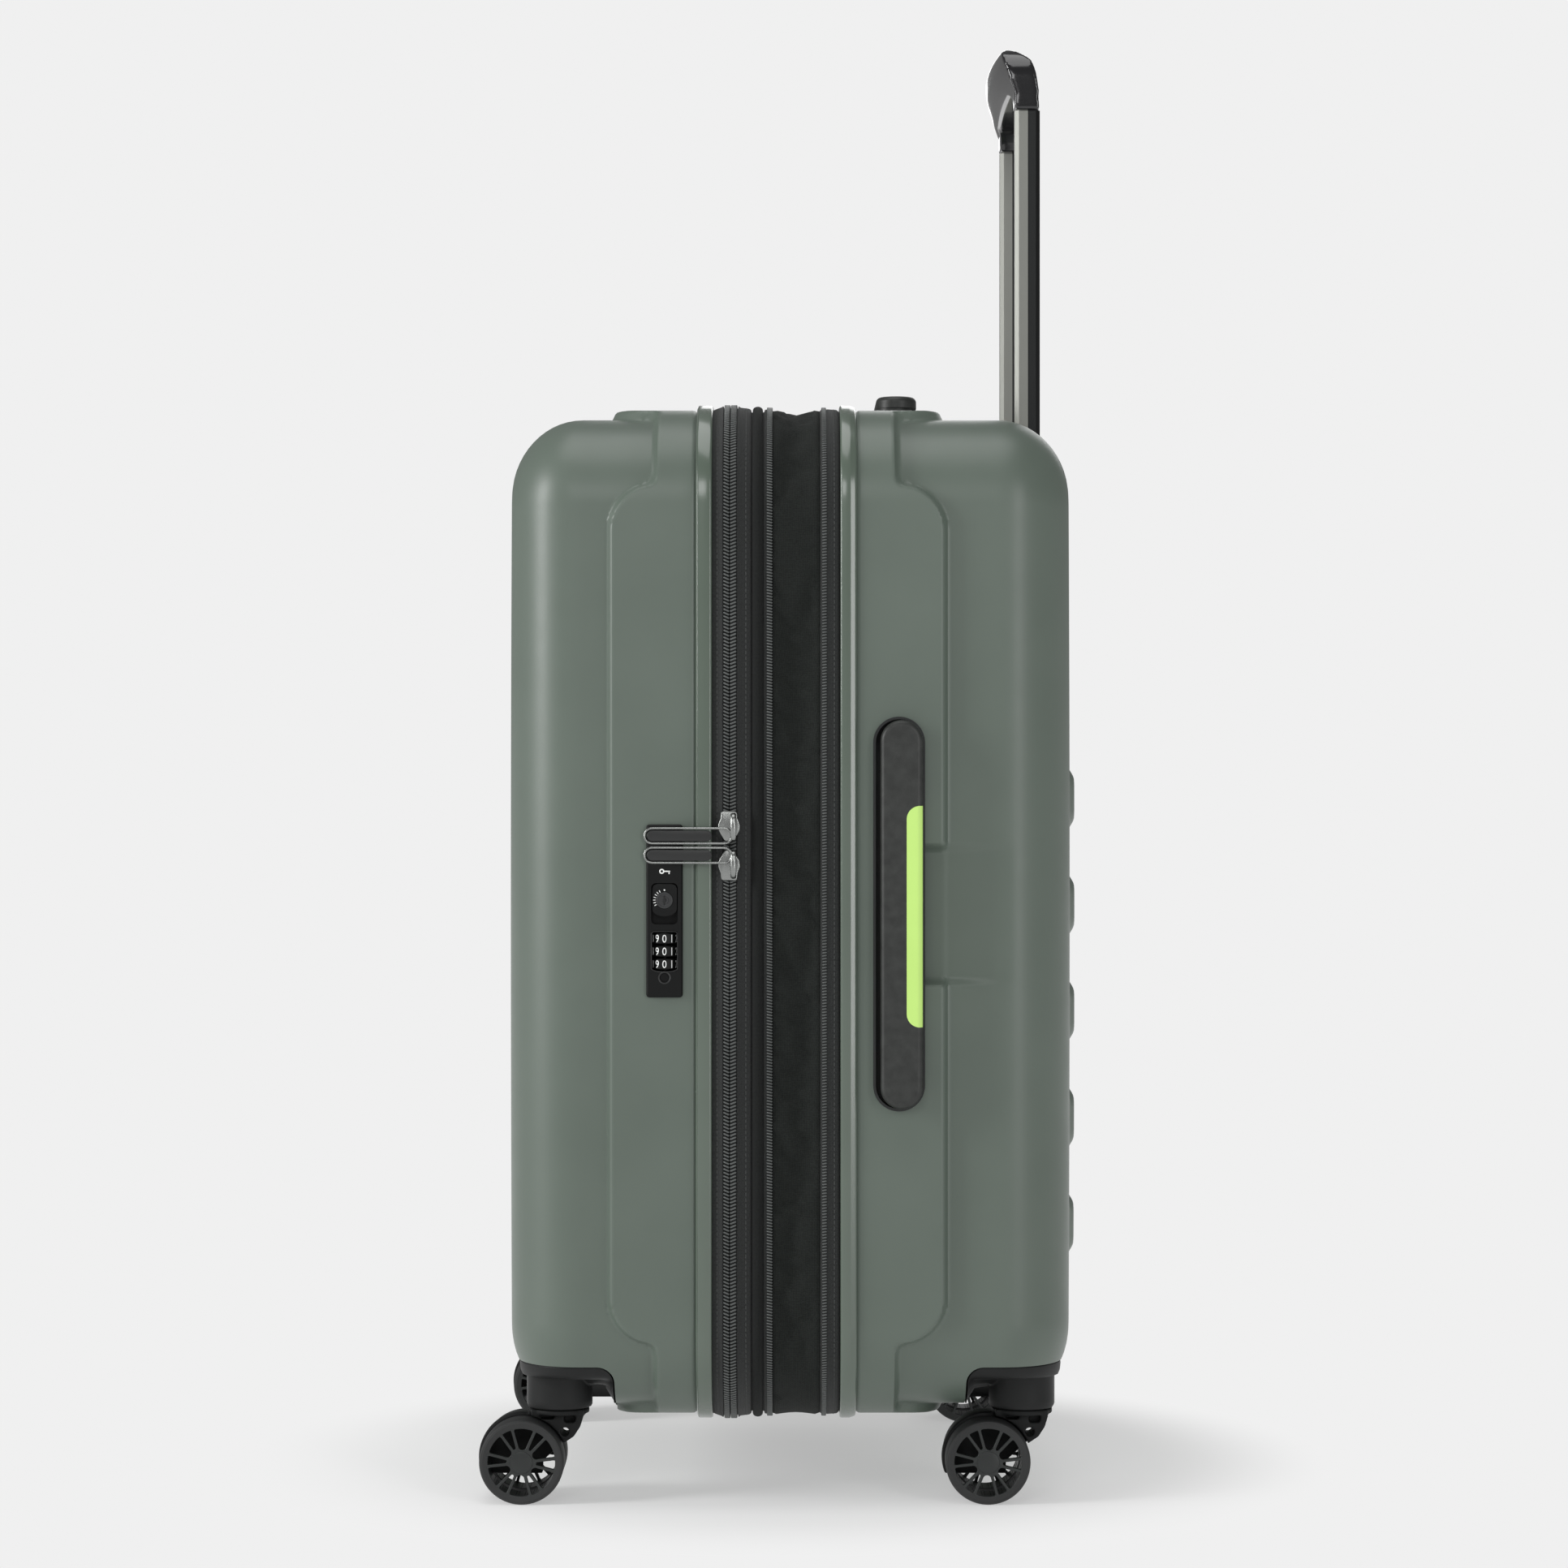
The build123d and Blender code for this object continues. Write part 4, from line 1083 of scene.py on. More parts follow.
def from_curve(name, data):
    """A mesh object from curve or text data."""
    holder = added("holder", data)
    mesh = bpy.data.meshes.new_from_object(holder.evaluated_get(bpy.context.evaluated_depsgraph_get()))
    bpy.data.objects.remove(holder)
    mesh.name = name
    return tidy(added(name, mesh), 40.0, outward=False)


def wire(name, points, radius, closed=True):
    """A round wire along points."""
    data = polylines(name, "3D", [points], closed)
    data.bevel_depth = radius * MM
    data.bevel_resolution = 4
    data.use_fill_caps = True
    return from_curve(name, data)


def circle(radius, steps=64, y=0.0):
    """Points round a circle about (0, y)."""
    return [(radius * cos(t), y + radius * sin(t)) for t in np.arange(steps) * 2 * pi / steps]


def lathe(name, profile, steps=64, closed=False):
    """Turns (radius, height) points about Z."""
    rings = [[(x, y, height) for x, y in circle(radius, steps)] for radius, height in profile]
    if not closed:
        return lofted(name, rings)
    points = [point for ring in rings for point in ring]
    return tidy(to_mesh(name, points, grid_faces(len(rings), steps, close_rows=True, close_columns=True)))


def smoothed_corners(points, radius, steps=3):
    """A closed outline with its sharp corners cut to soft ones."""
    points = [np.array(p, float) for p in points]
    out = []
    for before, corner, after in zip(points[-1:] + points[:-1], points, points[1:] + points[:1]):
        first, second = before - corner, after - corner
        turn = first @ second / (np.linalg.norm(first) * np.linalg.norm(second))
        if turn < -0.9:
            out.append(tuple(corner))
            continue
        start = corner + first * min(0.45, radius / np.linalg.norm(first))
        end = corner + second * min(0.45, radius / np.linalg.norm(second))
        for step in np.linspace(0, 1, steps + 1):
            out.append(tuple(start * (1 - step) ** 2 + 2 * corner * step * (1 - step) + end * step ** 2))
    return out


def softened(name, node, voxel, rounds, material, body, slot):
    """A CAD node's shape with its edges rounded all over."""
    item = added(name, nodes[node].data.copy())
    remesh = item.modifiers.new("remesh", "REMESH")
    remesh.mode = "VOXEL"
    remesh.voxel_size = voxel * MM
    smooth = item.modifiers.new("smooth", "SMOOTH")
    smooth.factor = 0.5
    smooth.iterations = rounds
    bake(item)
    shade_smooth(item)
    return dress(item, material, body, slot, node)


# ======================================================================== wheels
CASTERS = [f"{end}_{side}" for end in ("front", "rear") for side in ("left", "right")]
RIM_R = 20.6
SPOKE_PAIRS = 6
SPOKE_SPREAD = 10.5                # degrees from a pair's middle to each of its spokes
SPOKE_HALF = 0.9
NARROW_ROOT, WIDE_ROOT = (9.9, 0.9), (10.3, 2.55)


def spoke_hole(middle_turn, half_turn, root):
    """Outline of one opening between two spokes: round at its root, an arc at the rim."""
    root_at, root_r = root
    reach = half_turn - degrees(atan2(SPOKE_HALF, RIM_R))
    rim = [(RIM_R, middle_turn + t) for t in np.linspace(-reach, reach, 7)]
    outline = [(r * cos(radians(t)), r * sin(radians(t))) for r, t in rim]
    centre = np.array([cos(radians(middle_turn)), sin(radians(middle_turn))]) * root_at
    for turn in np.linspace(90 + 0.2 * half_turn, 270 - 0.2 * half_turn, 9):
        swung = radians(middle_turn + turn)
        outline.append(tuple(centre + root_r * np.array([cos(swung), sin(swung)])))
    return smoothed_corners(outline, 1.3)


def wheel_pieces(name, half):
    """A hub and a tyre about Z, the spoked face at +Z."""
    holes = []
    for pair in range(SPOKE_PAIRS):
        turn = pair * 360 / SPOKE_PAIRS - 4
        holes.append(spoke_hole(turn, SPOKE_SPREAD, NARROW_ROOT))
        holes.append(spoke_hole(turn + 180 / SPOKE_PAIRS, 180 / SPOKE_PAIRS - SPOKE_SPREAD, WIDE_ROOT))
    face = plate("face", [circle(21.6, 96)] + holes, 3.4, 0.45)
    face.data.transform(Matrix.Translation((0, 0, (half - 2.1) * MM)))
    barrel = [(20.7, half - 1.0), (22.1, half - 0.8), (22.1, 0.8 - half), (20.7, 1.0 - half)]
    barrel = lathe("barrel", barrel, 72, closed=True)
    post = lathe("post", [(3.6, 0.3 - half), (3.9, 0.6 - half), (4.6, half - 3.0), (6.9, half - 2.6),
                          (7.0, half - 0.6), (6.7, half - 0.15), (5.8, half + 0.1), (3.0, half + 0.35),
                          (0.6, half + 0.4)], 48)
    hub = joined(f"{name}_hub", [face, barrel, post])
    tread = [(20.7, half - 0.9), (21.1, half - 0.35), (23.9, half - 0.1), (24.3, half - 0.3),
             (24.9, half - 0.35), (25.5, half - 0.9), (25.95, half - 2.1), (26.0, 0.0),
             (25.95, 2.1 - half), (25.5, 0.9 - half), (24.8, 0.35 - half), (21.1, 0.35 - half),
             (20.7, 0.9 - half)]
    tyre = lathe(f"{name}_tyre", tread, 96, closed=True)
    return tidy(hub, 40.0, outward=False), tidy(tyre, 30.0)


def wheels():
    """Two wheels at each caster, their spokes turned outward."""
    for caster in CASTERS:
        for wheel, way in (("wheel_a", -1), ("wheel_b", 1)):
            node = f"{caster}_{wheel}"
            low, high = span(f"{node}_tyre")
            spoked, tread = wheel_pieces(f"{node}_turned", (high[1] - low[1]) / 2)
            place = (middle(f"{node}_tyre"), (1, 0, 0), (0, way, 0))
            dress(placed(spoked, *place), hub_black, node, "hub_black", f"{node}_hub")
            dress(placed(tread, *place), tyre_black, node, "tyre_black", f"{node}_tyre")


wheels()


# ======================================================================== zip sliders
ZIP_FACE_Y = span("front_zip_tape")[0][1]
PULLER_X = (-81.3, -28.6)
INSERT_X = (-79.9, -40.4)
PULLER_Z = {"upper": 409.4, "lower": 397.7}
PULLER_SLOPE = 0.118
PULLER_HEIGHT = 4.15               # above the tape, beside the zip
BRIDGE_SHIFT = 2.6
BRIDGE_WIDTH = 1.75                # times its thickness
BRIDGE_ARCH = ((-8.2, 1.8), (-8.0, 3.6), (-7.0, 5.2), (-5.0, 6.1), (0.0, 6.35), (4.4, 6.1), (6.4, 5.0),
               (7.4, 3.2), (7.6, 1.8))
SLIDER_OUTLINE = ((-9.3, -1.6), (-8.4, -2.9), (-2.2, -6.5), (1.2, -6.6), (5.0, -5.2), (9.2, -4.8),
                  (9.4, 4.8), (5.0, 5.2), (1.2, 6.6), (-2.2, 6.5), (-8.4, 2.9), (-9.3, 1.6))


def stadium_points(x0, x1, half, steps=10):
    """Outline of a bar with round ends, from x0 to x1."""
    turns = np.linspace(-pi / 2, pi / 2, steps)
    right = [(x1 - half + half * cos(t), half * sin(t)) for t in turns]
    left = [(x0 + half - half * cos(t), -half * sin(t)) for t in turns]
    return right + left


def sliders():
    """Sliders with a bright bridge each, and pullers of bent wire round a dark insert."""
    for which, towards_other in (("upper", 1), ("lower", -1)):
        slider_z = middle(f"zip_slider_{which}")[2]
        plane = ((MAIN_ZIP_X, ZIP_FACE_Y, slider_z), (0, 0, towards_other), (0, -1, 0))
        body = plate("body", [smoothed_corners(SLIDER_OUTLINE, 1.4)], 2.6, 0.8)
        body.data.transform(Matrix.Translation((0, 0, 1.75 * MM)))
        bridge_y = towards_other * -BRIDGE_SHIFT
        bridge = wire("bridge", [(x, bridge_y, z) for x, z in BRIDGE_ARCH], 1.0, closed=False)
        bridge.data.transform(Matrix.Translation((0, bridge_y * MM, 0))
                              @ Matrix.Scale(BRIDGE_WIDTH, 4, (0, 1, 0))
                              @ Matrix.Translation((0, -bridge_y * MM, 0)))
        slider = tidy(joined(f"slider_{which}", [body, bridge]), 40.0, outward=False)
        dress(placed(slider, *plane), gunmetal, f"slider_{which}", "gunmetal", f"zip_slider_{which}")
        puller(which)


def puller(which):
    """A puller that leans against the shell's band, from the zip to its tip."""
    def lean(x, y):
        """A point of the puller's own plane, in the frame."""
        fall = PULLER_SLOPE * (MAIN_ZIP_X - 3.0 - x)
        return (x, -(PULLER_HEIGHT - fall) + ZIP_FACE_Y, y + PULLER_Z[which])

    loop = [lean(x, y) for x, y in stadium_points(*PULLER_X, 4.55)]
    dress(wire(f"puller_{which}_loop", loop, 0.72), gunmetal, f"puller_{which}", "gunmetal",
          f"zip_puller_{which}")
    insert = plate(f"puller_{which}_insert", [stadium_points(*INSERT_X, 3.3)], 1.3, 0.45)
    middle_x = sum(INSERT_X) / 2
    insert.data.transform(Matrix.Translation((-middle_x * MM, 0, 0)))
    tilt = Vector((1, -PULLER_SLOPE, 0)).normalized()
    placed(insert, lean(middle_x, 0.0), tilt, (tilt.y, -tilt.x, 0))
    dress(insert, insert_black, f"puller_{which}", "gunmetal")


sliders()


# ======================================================================== lock
LOCK_FACE = lock_low[1]
DIALS = (1, 2, 3)
DIAL_R = 7.4
DIGIT_SIZE = 6.6
DIGIT_HEIGHT = 4.7
DIGIT_SQUEEZE = 0.85
DIGIT_RISE = 0.04                  # its middle stands this far out of the dial
TICK_R = 6.1
TICK_TURNS = np.linspace(118, 208, 7)
INK = 0.14
KEY_PROFILE = [(4.95, -1.0), (4.95, 2.15), (4.7, 2.35), (4.1, 2.4), (3.95, 2.0), (2.4, 1.9), (2.2, 2.3),
               (1.5, 2.35), (1.35, 1.4), (0.3, 1.4)]
RING_PROFILE = [(2.9, -0.5), (3.75, -0.5), (3.8, 0.1), (3.4, 0.24), (3.0, 0.05)]


def on_lock(item, x, z, rise=0.0, x_axis=(1, 0, 0)):
    """Places a flat piece on the lock's face, or rise millimetres behind it."""
    return placed(item, (x, LOCK_FACE + rise, z), x_axis, (0, -1, 0))


def digits(number, axis_x, axis_y, middle_z):
    """The digits 0 to 9 round one dial, standing just proud of it."""
    glyphs = []
    for digit in range(10):
        data = bpy.data.curves.new("digit", "FONT")
        data.body = str(digit)
        data.size = DIGIT_SIZE * MM
        data.extrude = 0.09 * MM
        data.resolution_u = 3
        data.align_x = "CENTER"
        glyph = from_curve("glyph", data)
        flat, up, out = (vertices(glyph) / MM).T
        up -= (up.max() + up.min()) / 2
        up *= DIGIT_HEIGHT / (up.max() - up.min())
        turn = flat * DIGIT_SQUEEZE / DIAL_R + digit * pi / 5
        reach = DIAL_R + DIGIT_RISE + out
        wrapped = (axis_x + reach * np.sin(turn), axis_y - reach * np.cos(turn), middle_z + up)
        move_vertices(glyph, np.column_stack(wrapped) * MM)
        glyphs.append(glyph)
    numbers = joined(f"dial_{number}_digits", glyphs)
    dress(numbers, white_ink, f"dial_{number}", "dial_black")


def lock():
    """The lock's dials, slide, key core, printed marks, window rim and reset ring."""
    for number in DIALS:
        digits(number, *middle(f"lock_dial_{number}"))
    slide_low, slide_high = span("lock_slide")
    key_x, _, key_z = middle("key_core")
    slide_x, _, slide_z = (slide_low + slide_high) / 2
    width, _, length = slide_high - slide_low
    half, top, bottom = width / 2, length / 2, -length / 2
    outline = [(-half, bottom + 4.4), (-half, top - 3.0), (-half + 0.9, top - 0.9), (-half + 3.2, top),
               (half - 3.2, top), (half - 0.9, top - 0.9), (half, top - 3.0), (half, bottom + 4.4)]
    bulge = [(half * cos(t), bottom + 4.6 + 4.6 * sin(t)) for t in np.linspace(-0.12, -pi + 0.12, 13)]
    slide = plate("plate", [outline + bulge, circle(5.05, 40, key_z - slide_z)], 4.6, 0.4)
    on_lock(slide, slide_x, slide_z, 0.4 + 2.3)
    slide.name = "lock_slide_plate"
    dress(slide, lock_black, "lock_slide", "lock_black", "lock_slide")

    core = cut(lathe("core", KEY_PROFILE, 48), pad("slot", 5.4, 0.9, 0.3, 1.0, 4.0))
    on_lock(core, key_x, key_z, 2.6, (0, 0, 1))
    core.name = "key_core_face"
    dress(core, soft_black, "key_core", "key_black", "key_core")
    marks = []
    for turn in TICK_TURNS:
        x, z = cos(radians(turn)), sin(radians(turn))
        tick = pad("tick", 1.5, 0.42, 0.15, 0.0, 0.12)
        marks.append(on_lock(tick, key_x + TICK_R * x, key_z + TICK_R * z, 0.42, (x, 0, z)))
    marks.append(on_lock(plate("dot", [circle(0.5, 16)], INK, 0.03), key_x, key_z + 6.2, 0.4))
    dress(joined("lock_slide_marks", marks), white_ink, "lock_slide", "lock_black")

    sign_z = slide_high[2] + 7.4
    sign = [on_lock(plate("head", [circle(1.55, 32), circle(0.75, 20)], INK, 0.03), key_x - 1.6, sign_z),
            on_lock(pad("shank", 3.6, 0.75, 0.2, -INK / 2, INK / 2), key_x + 1.6, sign_z),
            on_lock(pad("bit", 0.7, 1.7, 0.2, -INK / 2, INK / 2), key_x + 2.8, sign_z - 0.8)]
    dress(joined("lock_key_sign", sign), white_ink, "front_half", "lock_black")

    rim = wire("dial_window_rim", [(x, LOCK_FACE - 0.02, z) for x, z in window_rim()], 0.28)
    dress(rim, insert_black, "front_half", "lock_black")
    reset_x, _, reset_z = middle("lock_reset_button")
    ring = on_lock(lathe("ring", RING_PROFILE, 40, closed=True), reset_x, reset_z)
    ring.name = "reset_ring"
    dress(ring, insert_black, "front_half", "lock_black")


def window_rim():
    """Outline round the dials' window, its lower end curved."""
    spans = np.array([span(f"lock_dial_{number}") for number in DIALS])
    low, high = spans[:, 0].min(0), spans[:, 1].max(0)
    x, half = (low[0] + high[0]) / 2, 7.9
    top, bottom = high[2] + 1.0, low[2] + 0.6
    points = [(x - half, bottom), (x - half, top - 1.2), (x - half + 1.2, top), (x + half - 1.2, top),
              (x + half, top - 1.2), (x + half, bottom)]
    points += [(x + half * cos(t), bottom + 2.2 * sin(t)) for t in np.linspace(-0.15, -pi + 0.15, 11)]
    return points


lock()

# ======================================================================== caster housings
COVER_LENGTH = 65.5                # from the case's face along its side
COVER_WIDTH = 78.0                 # from the case's side along its face
COVER_TOP = 86.0
COVER_CORNER = 9.5
COVER_GAP = 0.9
BOSS_R = 20.4
BOSS_FOOT = 57.0
BOSS_FROM_FORK = 18.5              # from the front of a fork to its kingpin
COVE_TOP, COVE_BACK = 78.0, 70.5   # height of the cove at the boss, outside and inside
COVE_MIDDLE, COVE_SPREAD = 68.0, 24.0
# Rings of a cover, from its rim to the boss: shares of the way across and of the way up.
COVE_SHARES = ((0.05, 0.3), (0.12, 0.6), (0.2, 0.82), (0.32, 0.96), (0.5, 1.02), (0.75, 1.02),
               (0.9, 1.0), (1.0, 1.0))
DEEP_SHARE, DEEP_RISE = 0.22, 9.0  # the cover's end inside the shell: share inward, rise
RIM_LEAN = (0.9, 0.35)             # direction into the case at the rim: inward, up
RIM_ROUND = ((1.5, 1.8), (0.3, 0.5), (0.0, 0.0), (0.5, -0.35))     # inward, up
BOSS_ROUND = ((BOSS_R, 62.0), (BOSS_R, BOSS_FOOT + 1.7), (BOSS_R - 0.5, BOSS_FOOT + 0.5),
              (BOSS_R - 1.6, BOSS_FOOT))


def cover_outline(spec):
    """Outline of a caster cover on the shell, as points round its four sides."""
    inner_x = spec.face - spec.way * COVER_LENGTH
    straight = spec.face - spec.way * FACE_FILLET
    inner_y = HALF_Y - LOW_INSET - COVER_WIDTH
    top, corner = COVER_TOP, COVER_CORNER
    reach = CORNER_R - LOW_INSET
    floor_z = MID_Z - HALF_Z + CORNER_R

    def on_side(x, z, t):
        """The case's corner at depth x and height z, t round the face's fillet."""
        radius = reach - FACE_FILLET * (1 - cos(t))
        return x, CORE_Y + max(0.0, radius ** 2 - (floor_z - z) ** 2) ** 0.5, z

    def on_face(t):
        """Depth and rise of the face's fillet, t round it."""
        return straight + spec.way * FACE_FILLET * sin(t), FACE_FILLET * (1 - cos(t))

    points = [(inner_x, y, floor_z - reach) for y in np.linspace(inner_y, CORE_Y, 6)[:-1]]
    steep = np.arccos((floor_z - top + corner) / reach)
    points += [(inner_x, CORE_Y + reach * sin(t), floor_z - reach * cos(t))
               for t in np.linspace(0, steep, 14)[:-1]]
    points += [on_side(inner_x + spec.way * corner * (1 - cos(t)), top - corner + corner * sin(t), 0.0)
               for t in np.linspace(0, pi / 2, 9)[:-1]]
    points += [on_side(x, top, 0.0) for x in np.linspace(inner_x + spec.way * corner, straight, 5)[:-1]]
    last = np.arccos(((floor_z - top) - reach + FACE_FILLET) / FACE_FILLET)
    points += [on_side(on_face(t)[0], top, t) for t in np.linspace(0, last, 16)]
    edge_x, edge_y, _ = points[-1]
    points += [(edge_x, y, top) for y in np.linspace(edge_y, inner_y, 7)[1:]]
    points += [(on_face(t)[0], inner_y, floor_z - reach + on_face(t)[1])
               for t in np.linspace(last, 0, 14)[1:]]
    points += [(x, inner_y, floor_z - reach) for x in np.linspace(straight, inner_x, 5)[1:-1]]
    points = np.array(points)
    shift = np.array([face_shift(spec, x, y, z - MID_Z) for x, y, z in points]).reshape(-1)
    points[:, 0] += np.where(np.abs(points[:, 0] - spec.face) < 0.02, 0.0, shift)
    return points


def housings():
    """Covers let into the shells' lower corners: a dark seam, a cove and the swivel boss."""
    for caster in CASTERS:
        spec = FRONT if caster.startswith("front") else REAR
        side = -1 if caster.endswith("left") else 1
        swivel_x = span(f"{caster}_fork")[1][0] - BOSS_FROM_FORK
        centre = np.array([swivel_x, middle(f"{caster}_fork")[1]])
        rim = cover_outline(spec)
        rim[:, 1] *= side
        away = rim[:, :2] - centre
        aim = away / np.linalg.norm(away, axis=1)[:, None]
        outer = ease(0.5 + (rim[:, 2] - COVE_MIDDLE) / COVE_SPREAD)
        boss_z = COVE_BACK + (COVE_TOP - COVE_BACK) * outer
        inward = np.column_stack([-aim * RIM_LEAN[0], np.full(len(rim), RIM_LEAN[1])])
        deep = rim.copy()
        deep[:, :2] += (rim[:, :2].mean(0) - rim[:, :2]) * DEEP_SHARE
        deep[:, 2] += DEEP_RISE
        rings = [deep] + [rim + inward * share + np.array([0, 0, up]) for share, up in RIM_ROUND]
        boss_rim = np.column_stack([centre + aim * (BOSS_R + 0.9), boss_z])
        rings += [rim + (boss_rim - rim) * (across, across, down) for across, down in COVE_SHARES]
        for radius, down in ((BOSS_R + 0.25, 0.7), (BOSS_R, 1.6)):
            rings.append(np.column_stack([centre + aim * radius, boss_z - down]))
        for radius, z in BOSS_ROUND:
            rings.append(np.column_stack([centre + aim * radius, np.full(len(rim), z)]))
        cover = lofted(f"{caster}_cover", [ring.tolist() for ring in rings])
        dress(cover, cover_black, f"{spec.name}_half", "caster_black", f"{caster}_housing")


def cover_cutters(spec):
    """What the shells lose to the caster covers."""
    inner_x = spec.face - spec.way * (COVER_LENGTH + COVER_GAP)
    top, corner = COVER_TOP + COVER_GAP, COVER_CORNER + COVER_GAP
    far_x = spec.face + spec.way * 40
    outline = [(far_x, 30.0), (inner_x, 30.0)]
    for t in np.linspace(0, pi / 2, 9):
        outline.append((inner_x + spec.way * corner * (1 - cos(t)), top - corner + corner * sin(t)))
    outline.append((far_x, top))
    inner_y = HALF_Y - LOW_INSET - COVER_WIDTH - COVER_GAP
    return [lofted("cutter", [[(x, side * y, z) for x, z in outline] for y in (inner_y, HALF_Y + 20)])
            for side in (-1, 1)]


shells()
housings()


# ======================================================================== trolley
GRIP_SEAT, GRIP_BEND = 869.0, 898.0
GRIP_SWEEP, GRIP_BOW = 4.0, 1.5


def grip():
    """The grip with soft edges, its bar bowed forward between the two legs."""
    body = softened("trolley_grip_body", "trolley_grip", 1.0, 14, gloss_black, "trolley", "gloss_black")
    points = vertices(body) / MM
    across = (points[:, 1] / span("trolley_grip")[1][1]) ** 2
    rise = ease((points[:, 2] - GRIP_SEAT) / (GRIP_BEND - GRIP_SEAT))
    points[:, 0] += (GRIP_SWEEP * across - GRIP_BOW * (1 - across)) * rise
    move_vertices(body, points * MM)


grip()


# ======================================================================== hinge and interior
HINGE_PROFILE = ((-40.4, 1.2), (-39.2, -0.4), (-36.5, -1.2), (-33.5, -1.9), (-31.5, -2.3), (-30.2, -2.4),
                 (-28.9, -2.3), (-26.9, -1.9), (-23.5, -1.0), (-20.0, 0.4), (-18.2, 1.6))
HINGE_THICK = 1.1


def strip(name, profile, z0, z1, thick, rows=60):
    """A band of cloth on the +Y side: a profile of (x, inset) points drawn along Z."""
    points = [(x, HALF_Y - inset, z0 + (z1 - z0) * row / rows)
              for row in range(rows + 1) for x, inset in profile]
    item = to_mesh(name, points, grid_faces(rows + 1, len(profile)))
    return tidy(thicken(item, thick, 0), 60.0)


def hinge():
    """The cloth hinge that joins the halves on the side away from the handle."""
    z0, z1 = MID_Z - HINGE_HALF_LENGTH, MID_Z + HINGE_HALF_LENGTH
    cloth = strip("hinge_cloth", HINGE_PROFILE, z0, z1, HINGE_THICK)
    dress(cloth, webbing_black, None, "black_fabric")
    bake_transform(cloth)
    for name, x, inset, body in (("hinge_stitches_front", -38.6, -1.15, "front_half"),
                                 ("hinge_stitches_middle", -21.6, -0.75, "middle")):
        points, faces = capsule(2.4, 0.25, 6)
        points = [(y, z, along) for along, y, z in points]
        places = [(x, HALF_Y - inset, z) for z in np.arange(z0 + 4, z1 - 3, STITCH_PITCH)]
        stitches = repeated(name, points, faces, places, [np.eye(3)] * len(places))
        dress(stitches, thread_grey, body, "black_fabric")


LINING_INSET = 13.4
LINING_GAP = {-1: 5.5, 1: 0.8}     # from the end of the lining's CAD node to the cloth's face
LINING_FILLET = 44.0
LINING_THICK = 0.6
LINING_MESH = 14.0
FOLD_HEIGHT = 1.1
FOLD_WAVES, FOLD_DRIFT = (23, 71, 37), 2.1
FOLD_START, FOLD_FADE = 20, 40     # from the lining's open edge
DIVIDER_X = -52.0
STRAP_X = 52.0
OUTWARD = (-1, 0, 0)               # from the rear half's straps to its open side


def lining(spec):
    """Loose cloth inside a shell, with soft folds."""
    edge, face = span(f"{spec.name}_lining")[::spec.way]
    edge, face = edge[0], face[0] - spec.way * LINING_GAP[spec.way]
    rows = [(x, LINING_INSET) for x in np.linspace(edge, face - spec.way * LINING_FILLET, 9)]
    for turn in np.linspace(0, 90, 8)[1:]:
        rows.append((face - spec.way * LINING_FILLET * (1 - sin(radians(turn))),
                     LINING_INSET + LINING_FILLET * (1 - cos(radians(turn)))))
    rows.append((face, CORNER_R))
    samples = filled((-CORE_Y, CORE_Y), LINING_MESH), filled((-CORE_Z, CORE_Z), LINING_MESH)
    ring = outline_ring(*samples, np.linspace(0, 90, 13))
    points = np.concatenate([ring_points(ring, x, inset) for x, inset in rows])
    faces = [tuple(f) for f in grid_faces(len(rows), len(ring[0]), close_columns=True)]
    ys, zs = np.meshgrid(*samples, indexing="ij")
    middle_points = np.column_stack([np.full(ys.size, face), ys.ravel(), zs.ravel() + MID_Z])
    faces += [tuple(f) for f in grid_faces(*ys.shape) + len(points)]
    points = np.concatenate([points, middle_points])
    x, y, z = points.T
    wave = y / FOLD_WAVES[0] + FOLD_DRIFT * np.sin(z / FOLD_WAVES[1])
    folds = FOLD_HEIGHT * np.sin(wave) * np.sin(z / FOLD_WAVES[2])
    fade = ease((spec.way * (x - edge) - FOLD_START) / FOLD_FADE)
    points[:, 0] -= spec.way * (folds + FOLD_HEIGHT) * fade
    cloth = tidy(to_mesh(f"{spec.name}_lining_cloth", points, faces), 80.0)
    thicken(cloth, LINING_THICK)
    if spec is FRONT:
        holes = [placed(pad("cutter", LOCK[0] + 2, LOCK[1] + 2, LOCK_R, -30, 8), *LOCK_PLANE)]
    else:
        holes = [placed(stadium_pad(CUP[0] + 2, CUP[1] + 2, -40, 5), *plane)
                 for plane in (SIDE_PLANE, TOP_PLANE)]
    cut(cloth, *holes, *cover_cutters(spec))
    dress(cloth, lining_grey, f"{spec.name}_half", "lining_fabric", f"{spec.name}_lining")


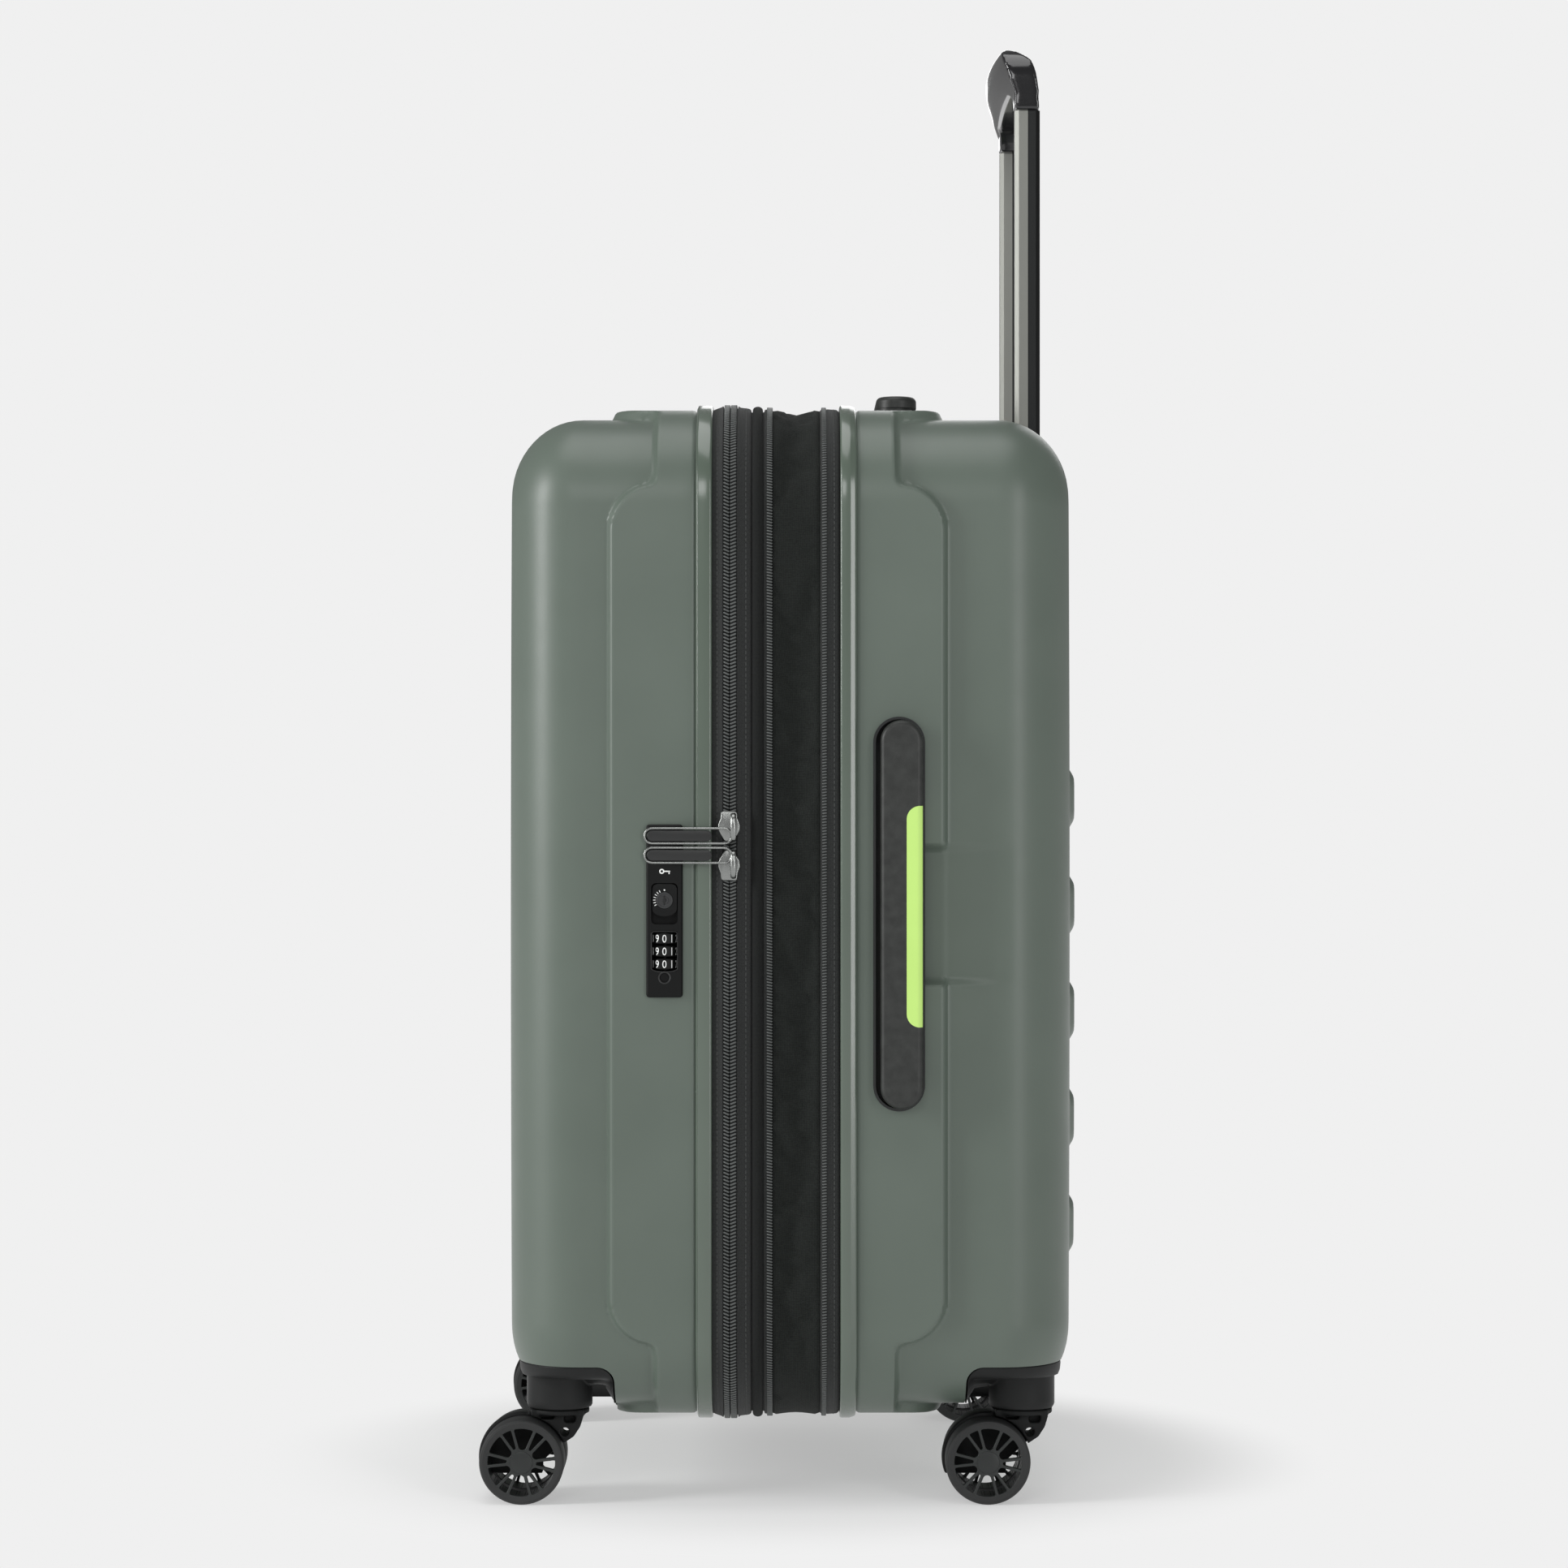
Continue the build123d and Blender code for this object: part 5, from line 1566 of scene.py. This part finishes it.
def interior():
    """Linings, a zipped mesh divider in the front half and crossed packing straps in the rear half."""
    lining(FRONT)
    lining(REAR)
    width, height = 2 * (HALF_Y - 15), 2 * (HALF_Z - 15)
    outline = rounded_rectangle(height, width, 49.0, 8)
    panel = plate("divider_net", [rounded_rectangle(height - 56, width - 56, 24.0, 8)], 0.8, 0.2)
    opening = rounded_rectangle(height - 54, width - 54, 25.0, 8)
    frame_band = plate("divider_cloth", [outline, opening], 1.6, 0.5)
    place = ((DIVIDER_X, 0, MID_Z), (0, 0, -1), (1, 0, 0))
    dress(placed(panel, *place), mesh_black, "front_half", "lining_fabric")
    dress(placed(frame_band, *place), lining_grey, "front_half", "lining_fabric")
    chain = [(DIVIDER_X + 1.3, y, z + MID_Z)
             for z, y in rounded_rectangle(height - 40, width - 40, 34.0, 8)]
    dress(wire("divider_zip", chain, 1.1), teeth_black, "front_half", "black_fabric")

    reach_y, reach_z = HALF_Y - 40, HALF_Z - 120
    for name, slope in (("packing_strap_rising", 1), ("packing_strap_falling", -1)):
        length = 2 * np.hypot(reach_y, reach_z)
        band = pad(name, length, 25.0, 0.6, -0.7, 0.7, 0.3)
        along = Vector((0, slope * reach_y, reach_z)).normalized()
        placed(band, (STRAP_X + 0.9 * slope, 0, MID_Z), along, OUTWARD)
        dress(band, webbing_black, "rear_half", "black_fabric")
        for end in (-1, 1):
            patch = pad(f"{name}_anchor_{'low' if end < 0 else 'high'}", 34.0, 34.0, 4.0, -1.6, 1.6, 0.6)
            spot = (STRAP_X, end * slope * reach_y, MID_Z + end * reach_z)
            dress(placed(patch, spot, along, OUTWARD), soft_black, "rear_half", "black_fabric")
    shell = pad("packing_buckle", 56.0, 38.0, 9.0, -4.5, 4.5, 2.2)
    slots = [pad("slot", 4.0, 27.0, 1.5, -6, 6) for _ in range(2)]
    for slot, shift in zip(slots, (-1, 1)):
        slot.data.transform(Matrix.Translation((shift * 21 * MM, 0, 0)))
    cut(shell, *slots)
    placed(shell, (STRAP_X - 1.0, 0, MID_Z), (0, 0, 1), OUTWARD)
    shell.name = "packing_buckle"
    dress(tidy(shell), gloss_black, "rear_half", "black_fabric")


hinge()
interior()


# ======================================================================== CAD nodes that stay
def keep_node(name, material, width=0.0):
    """A CAD node shown as it is, with a better material and softened edges."""
    item = nodes[name]
    paint(item, material)
    shade_smooth(item)
    if width:
        modifier = item.modifiers.new("bevel", "BEVEL")
        modifier.width = width * MM
        modifier.segments = 3
        modifier.limit_method = "ANGLE"
        modifier.angle_limit = radians(30)
        modifier.harden_normals = False
        item.modifiers.new("normals", "WEIGHTED_NORMAL")


for name, material, width in (
        ("handle_cups", tray_black, 0.35), ("side_handle_strap", handle_black, 0.0),
        ("top_handle_strap", handle_black, 0.0), ("side_handle_inlay", lime_insert, 0.0),
        ("top_handle_inlay", lime_insert, 0.0), ("lock_body", lock_black, 0.2),
        ("lock_reset_button", lock_black, 0.2), ("grip_button", soft_black, 0.0),
        ("push_rods", steel, 0.0), ("inner_tubes", tube_metal, 0.2), ("outer_tubes", tube_dark, 0.2),
        ("trolley_lock_pins", steel, 0.2)):
    keep_node(name, material, width)
for number in DIALS:
    keep_node(f"lock_dial_{number}", lock_black)
for caster in CASTERS:
    softened(f"{caster}_yoke", f"{caster}_fork", 0.8, 4, caster_black, f"{caster}_swivel", "caster_black")
    keep_node(f"{caster}_pins", steel, 0.3)
